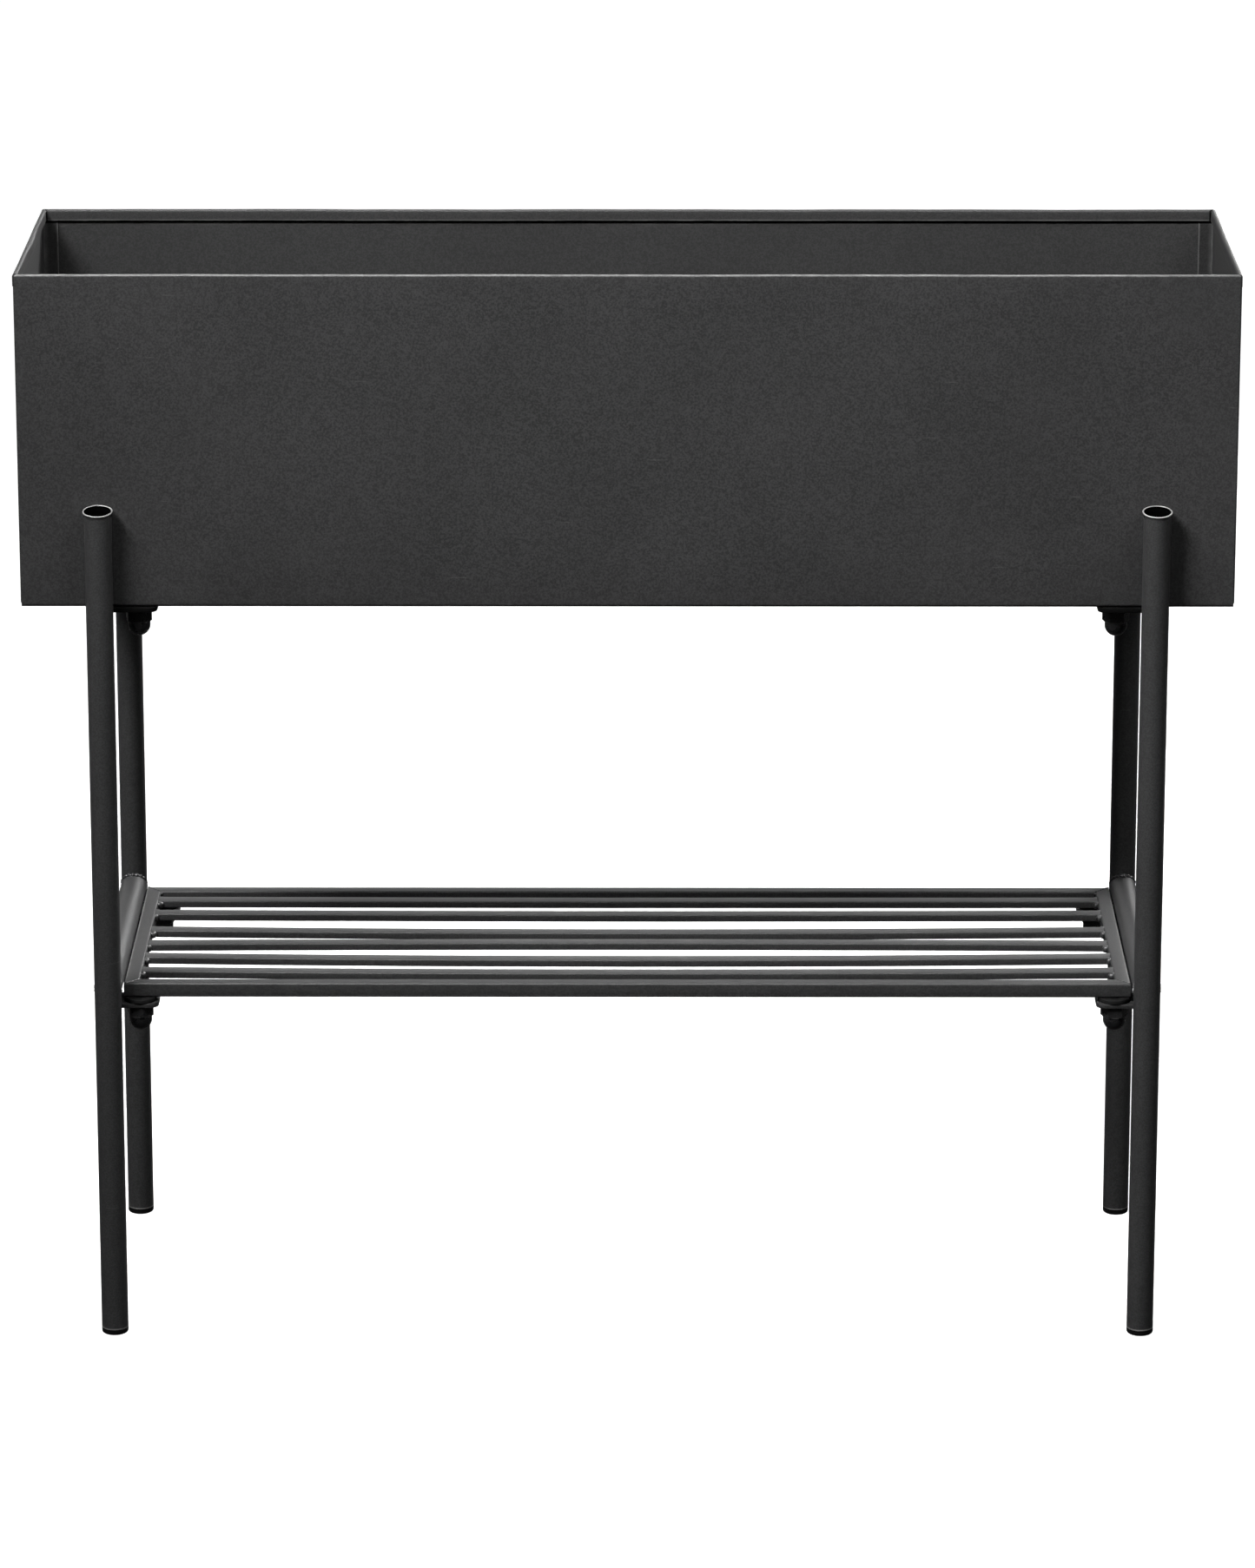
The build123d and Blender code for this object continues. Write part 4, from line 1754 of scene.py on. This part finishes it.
@dataclass
class Fasteners:
    """Domed bolts, washers, cap nuts and the rings under the shelf. Sizes are in metres."""

    finishes: Finishes
    flats: float = 16.0 * MM
    hex_height: float = 8.0 * MM
    dome: float = 7.5 * MM
    chamfer: float = 0.9 * MM
    bore: float = 5.0 * MM
    bore_depth: float = 13.0 * MM
    clearance: float = 5.5 * MM
    shank: float = 4.95 * MM
    head_height: float = 5.0 * MM
    socket_flats: float = 6.0 * MM
    socket_depth: float = 2.5 * MM
    head: float = 10.0 * MM
    washer: float = 9.0 * MM
    spacer: float = 11.0 * MM
    floor_sheet: float = 1.2 * MM
    shoulder_highlight: float = 0.8

    @staticmethod
    def centres(node: str) -> dict[str, Array]:
        """The four fasteners' centres: the box's corners less half of one fastener's width.

        Args:
            node: The group's CAD node.

        Returns:
            X and Y for each corner's name.
        """
        xy = points_of(bpy.data.objects[node].data)[:, :2]
        found = {}
        for corner in CORNERS:
            mine = xy[(np.sign(xy) == corner.signs).all(1)]
            found[corner.name] = (mine.min(0) + mine.max(0)) / 2
        return found

    @staticmethod
    def hexagon(flats: float, angles: Array, turn: float) -> Array:
        """A hexagon's radius at each angle: half the flats over cos of the angle from the nearest flat.

        Args:
            flats: Its width across flats.
            angles: The angles, in radians.
            turn: Where its first flat is, in radians.

        Returns:
            The radius at each angle.
        """
        off = (angles - turn + math.pi / 6) % (math.pi / 3) - math.pi / 6
        return flats / 2 / np.cos(off)

    def cap_nut(self, centre: Array, top: float, turn: float) -> Array:
        """A domed nut's surface: r(a, v) is the smaller of the hexagon and the chamfer's cone, then the dome.

        Args:
            centre: Its X and Y.
            top: Its flat face's height.
            turn: How far its first flat is turned, in radians.

        Returns:
            The grid of points, closed along its first direction.
        """
        a = np.linspace(0, 2 * math.pi, 144, endpoint=False)
        corner = self.flats / math.sqrt(3)
        hexagon = self.hexagon(self.flats, a, turn)[:, None]
        foot = top - self.hex_height
        cone = np.array(
            [
                [self.bore, top],
                [corner - 2.0 * self.chamfer, top],
                [corner - self.chamfer, top - 0.45 * self.chamfer],
                [corner, top - self.chamfer],
                [corner, foot + self.chamfer],
                [corner - self.chamfer, foot + 0.45 * self.chamfer],
                [corner - 2.0 * self.chamfer, foot],
            ]
        )
        centre_z = foot - 2.5 * MM
        neck = np.array([[self.dome + 0.35 * MM, foot], [self.dome, foot - 0.5 * MM]])
        round_end = arc((0.0, centre_z), self.dome, 0, -90, 16)
        inside = np.array([[0.0, top - self.bore_depth - 1.5 * MM], [self.bore, top - self.bore_depth]])
        r = np.concatenate([inside[:, 0], cone[:, 0], neck[:, 0], round_end[:, 0]])
        z = np.concatenate([inside[:, 1], cone[:, 1], neck[:, 1], round_end[:, 1]])
        reach = np.minimum(r[None, :], np.broadcast_to(hexagon, (len(a), len(r))))
        x = centre[0] + reach * np.cos(a)[:, None]
        y = centre[1] + reach * np.sin(a)[:, None]
        return np.stack([x, y, np.broadcast_to(z, x.shape)], 2)

    def bolt(self, centre: Array, seat: float, tip: float, radius: float, turn: float) -> Skin:
        """A bolt with a low domed head, a hexagon socket and a plain shank.

        Args:
            centre: Its X and Y.
            seat: The height under its head.
            tip: The shank's end.
            radius: The head's radius.
            turn: How far the socket is turned, in radians.

        Returns:
            The bolt's closed skin.
        """
        a = np.linspace(0, 2 * math.pi, 96, endpoint=False)
        socket = self.hexagon(self.socket_flats, a, turn)[:, None]
        ball = (radius**2 + self.head_height**2) / (2 * self.head_height)
        crown_r = np.linspace(radius - 0.3 * MM, 1.25 * self.socket_flats / math.sqrt(3), 12)
        crown_z = seat + self.head_height - ball + np.sqrt(ball**2 - crown_r**2)
        crown = np.stack([crown_r, crown_z], 1)
        floor = seat + self.head_height - self.socket_depth
        lip = crown_z[-1] + 0.1 * MM
        outside = np.concatenate(
            [
                [[0.0, tip], [self.shank - 0.8 * MM, tip], [self.shank, tip + 0.8 * MM], [self.shank, seat]],
                [[radius, seat], [radius, seat + 0.5 * MM]],
                crown,
            ]
        )
        grid = lathe(outside, centre, 96)
        rows = [grid[:, i] for i in range(grid.shape[1])]
        for reach, z in ((socket, lip), (socket, floor), (0.0 * socket, floor - 0.5 * MM)):
            xy = centre + reach * np.stack([np.cos(a), np.sin(a)], 1)
            rows.append(np.concatenate([xy, np.full((len(a), 1), z)], 1))
        return Skin().grid(np.stack(rows, 1), close_u=True)

    @staticmethod
    def ring(centre: Array, inner: float, outer: float, low: float, high: float, edge: float) -> Array:
        """A flat ring with rounded edges, turned from a rounded box.

        Args:
            centre: Its X and Y.
            inner: Its hole's radius.
            outer: Its own radius.
            low: Its lower face's height.
            high: Its upper face's height.
            edge: Its edges' radius.

        Returns:
            The grid of points, closed in both directions.
        """
        section = rounded_box(outer - inner, high - low, edge, 3) + [(outer + inner) / 2, (low + high) / 2]
        return lathe(section, centre, 72)

    def nuts(self, node: str, name: str) -> None:
        """Makes a group of cap nuts, each turned its own way.

        Args:
            node: The group's CAD node.
            name: The piece's name.
        """
        top = NodeBox.of(node).high[2]
        skin = Skin()
        for number, centre in enumerate(self.centres(node).values()):
            skin.grid(self.cap_nut(centre, top, math.radians(13 + 17 * number)), close_u=True)
        piece = skin.build(name, 24)
        # Painted highlight: a pale ring round each nut's shoulder.
        shoulder = top - self.hex_height + 0.2 * MM
        pale_highlight_and_wear = ridge(points_of(piece.data)[:, 2], shoulder, 0.9 * MM)
        mark(piece, "wear", self.shoulder_highlight * pale_highlight_and_wear)
        self.finishes.dress(piece, Slot.BLACK_FASTENER, [node])

    def rings(self, node: str, name: str, outer: float, edge: float, slot: Slot) -> None:
        """Makes a group of washers or spacers.

        Args:
            node: The group's CAD node.
            name: The piece's name.
            outer: Their radius.
            edge: Their edges' radius.
            slot: Their finish.
        """
        box = NodeBox.of(node)
        skin = Skin()
        for centre in self.centres(node).values():
            grid = self.ring(centre, self.clearance, outer, box.low[2], box.high[2], edge)
            skin.grid(grid, close_u=True, close_v=True)
        self.finishes.dress(skin.build(name), slot, [node])

    def bolts(self) -> None:
        """Makes the four bolts through the trough's floor."""
        box = NodeBox.of("trough_bolts")
        seat = NodeBox.of("trough_wrap").low[2] + self.floor_sheet
        skin = Skin()
        for number, centre in enumerate(self.centres("trough_bolts").values()):
            made = self.bolt(centre, seat, box.low[2], self.head, math.radians(9 + 23 * number))
            skin.grid(made.points[0].reshape(96, -1, 3), close_u=True)
        self.finishes.dress(skin.build("trough_bolt_set", 30), Slot.BLACK_FASTENER, ["trough_bolts"])

    def build(self, frame: dict) -> None:
        """Makes every fastener, and paints the studs, which keep their CAD meshes.
        """
        self.nuts("trough_cap_nuts", "trough_nut_set")
        self.nuts("shelf_cap_nuts", "shelf_nut_set")
        self.rings("trough_washers", "trough_washer_set", self.washer, 0.3 * MM, Slot.BLACK_FASTENER)
        self.rings("shelf_spacers", "shelf_spacer_set", self.spacer, 0.5 * MM, Slot.SPACER_RUBBER)
        self.bolts()
        self.finishes.paint(frame["nodes"]["shelf_studs"], Slot.BLACK_FASTENER)


# ---------------------------------------------------------------- stage


@dataclass(frozen=True)
class Lamp:
    """A rectangular soft light. Sizes are in metres, power is in watts and spread in degrees.

    spread is how wide its grid lets the light out.
    """

    name: str
    place: tuple[float, float, float]
    aim: tuple[float, float, float]
    size: tuple[float, float]
    power: float
    spread: float = 180.0

    def hang(self) -> None:
        """Hangs the light at its place, facing its aim."""
        data = bpy.data.lights.new(self.name, "AREA")
        data.spread = math.radians(self.spread)
        data.shape = "RECTANGLE"
        data.size, data.size_y = self.size
        data.energy = self.power
        light = bpy.data.objects.new(self.name, data)
        light.location = self.place
        way = Vector(self.aim) - Vector(self.place)
        light.rotation_euler = way.to_track_quat("-Z", "Y").to_euler()
        bpy.context.scene.collection.objects.link(light)


@dataclass
class Studio:
    """The floor, the soft lights and the camera. Sizes are in metres and angles in degrees.

    The lights' powers are in watts. softbox is the width and height of each of the three softboxes.
    """

    distance: float = 4.2
    height: float = 1.62
    pitch: float = 14.98
    yaw: float = -0.139
    side_step: float = 0.010
    lens: float = 147.8
    shift: float = -0.13
    floor_half: float = 40.0
    floor_drop: float = 0.4 * MM
    floor_tone: float = 0.32
    floor_roughness: float = 0.8
    floor_specular: float = 0.2
    floor_glow: float = 0.94
    surround: float = 0.045
    left_light: float = 45.0
    right_light: float = 11.5
    rear_light: float = 27.0
    softbox: tuple[float, float] = (1.7, 1.3)
    softbox_aim: tuple[float, float, float] = (-0.05, 0.0, 1.14)
    softbox_grid: float = 42.0
    floor_light: float = 60.0
    wall_light: float = 45.0
    strip_light: float = 3.0

    def floor_finish(self) -> bpy.types.Material:
        """The floor's pale finish, which glows a little so that it stays even.

        Returns:
            The material.
        """
        material = bpy.data.materials.new("pale_floor")
        material.use_nodes = True
        inputs = material.node_tree.nodes["Principled BSDF"].inputs
        inputs["Base Color"].default_value = (self.floor_tone, self.floor_tone, self.floor_tone, 1)
        inputs["Roughness"].default_value = self.floor_roughness
        inputs["Specular IOR Level"].default_value = self.floor_specular
        inputs["Emission Color"].default_value = (1, 1, 1, 1)
        inputs["Emission Strength"].default_value = self.floor_glow
        return material

    def floor(self, material: bpy.types.Material) -> None:
        """Lays a plain floor just under the feet.

        Args:
            material: Its finish.
        """
        x, y = np.meshgrid([-self.floor_half, self.floor_half], [-self.floor_half, self.floor_half])
        floor = Skin().grid(np.stack([x, y, np.full_like(x, -self.floor_drop)], 2)).build("floor")
        floor.data.materials.append(material)
        if floor.data.polygons[0].normal.z < 0:
            floor.data.flip_normals()
        floor.visible_diffuse = False
        floor.visible_glossy = False

    def backdrop(self, material: bpy.types.Material) -> None:
        """Stands a round wall of the floor's own tone at its far edge, seen only by the camera.

        Args:
            material: The floor's finish.
        """
        radius = 0.95 * self.floor_half
        line = np.array([[radius, -0.01], [radius, 0.6 * radius]])
        backdrop = Skin().grid(lathe(line, np.zeros(2), 96), close_u=True).build("backdrop")
        backdrop.data.materials.append(material)
        face = backdrop.data.polygons[0]
        if face.normal.dot(face.center) > 0:
            backdrop.data.flip_normals()
        backdrop.visible_diffuse = False
        backdrop.visible_glossy = False
        backdrop.visible_shadow = False

    def lights(self) -> None:
        """Sets a dim surround, three softboxes, a light over the floor, one behind and a strip."""
        world = bpy.data.worlds.new("surround")
        bpy.context.scene.world = world
        world.use_nodes = True
        back = world.node_tree.nodes["Background"]
        back.inputs["Color"].default_value = (1, 1, 1, 1)
        back.inputs["Strength"].default_value = self.surround
        softboxes = (
            ("left_softbox", (-1.8, -1.75, 3.5), self.left_light),
            ("right_softbox", (1.9, -1.6, 3.4), self.right_light),
            ("rear_softbox", (2.0, 2.3, 2.9), self.rear_light),
        )
        for name, place, power in softboxes:
            Lamp(name, place, self.softbox_aim, self.softbox, power, self.softbox_grid).hang()
        Lamp("over_floor", (0.0, 1.5, 5.0), (0.0, 1.5, 0.0), (8.0, 9.0), self.floor_light).hang()
        Lamp("wall_behind", (0.0, 7.5, 2.6), (0.0, 0.0, 1.0), (9.0, 4.4), self.wall_light).hang()
        Lamp("left_strip", (-1.7, 1.5, 1.0), (0.0, 0.0, 0.55), (0.3, 1.6), self.strip_light).hang()

    def camera(self) -> None:
        """Sets the camera in front, a little above the rim and looking down."""
        data = bpy.data.cameras.new("camera")
        data.lens = self.lens
        data.sensor_width = 36.0
        data.shift_y = self.shift
        data.clip_end = 100
        camera = bpy.data.objects.new("camera", data)
        camera.location = (self.side_step, -self.distance, self.height)
        camera.rotation_euler = Euler((math.radians(90 - self.pitch), 0, math.radians(-self.yaw)))
        bpy.context.scene.collection.objects.link(camera)
        bpy.context.scene.camera = camera

    def build(self) -> None:
        """Makes the floor, the lights and the camera."""
        bpy.context.scene.view_settings.view_transform = "Standard"
        finish = self.floor_finish()
        self.floor(finish)
        self.backdrop(finish)
        self.lights()
        self.camera()


def main() -> None:
    """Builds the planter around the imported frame."""
    logging.basicConfig(level=logging.INFO, format="%(name)s %(message)s")
    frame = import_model()
    finishes = Finishes()
    Trough(finishes).build()
    Legs(finishes).build()
    Tabs(finishes).build()
    shelf = Shelf(finishes)
    shelf.build()
    Welds(finishes, shelf).build()
    Fasteners(finishes).build(frame)
    Studio().build()
    bpy.context.view_layer.update()


if __name__ == "__main__":
    main()
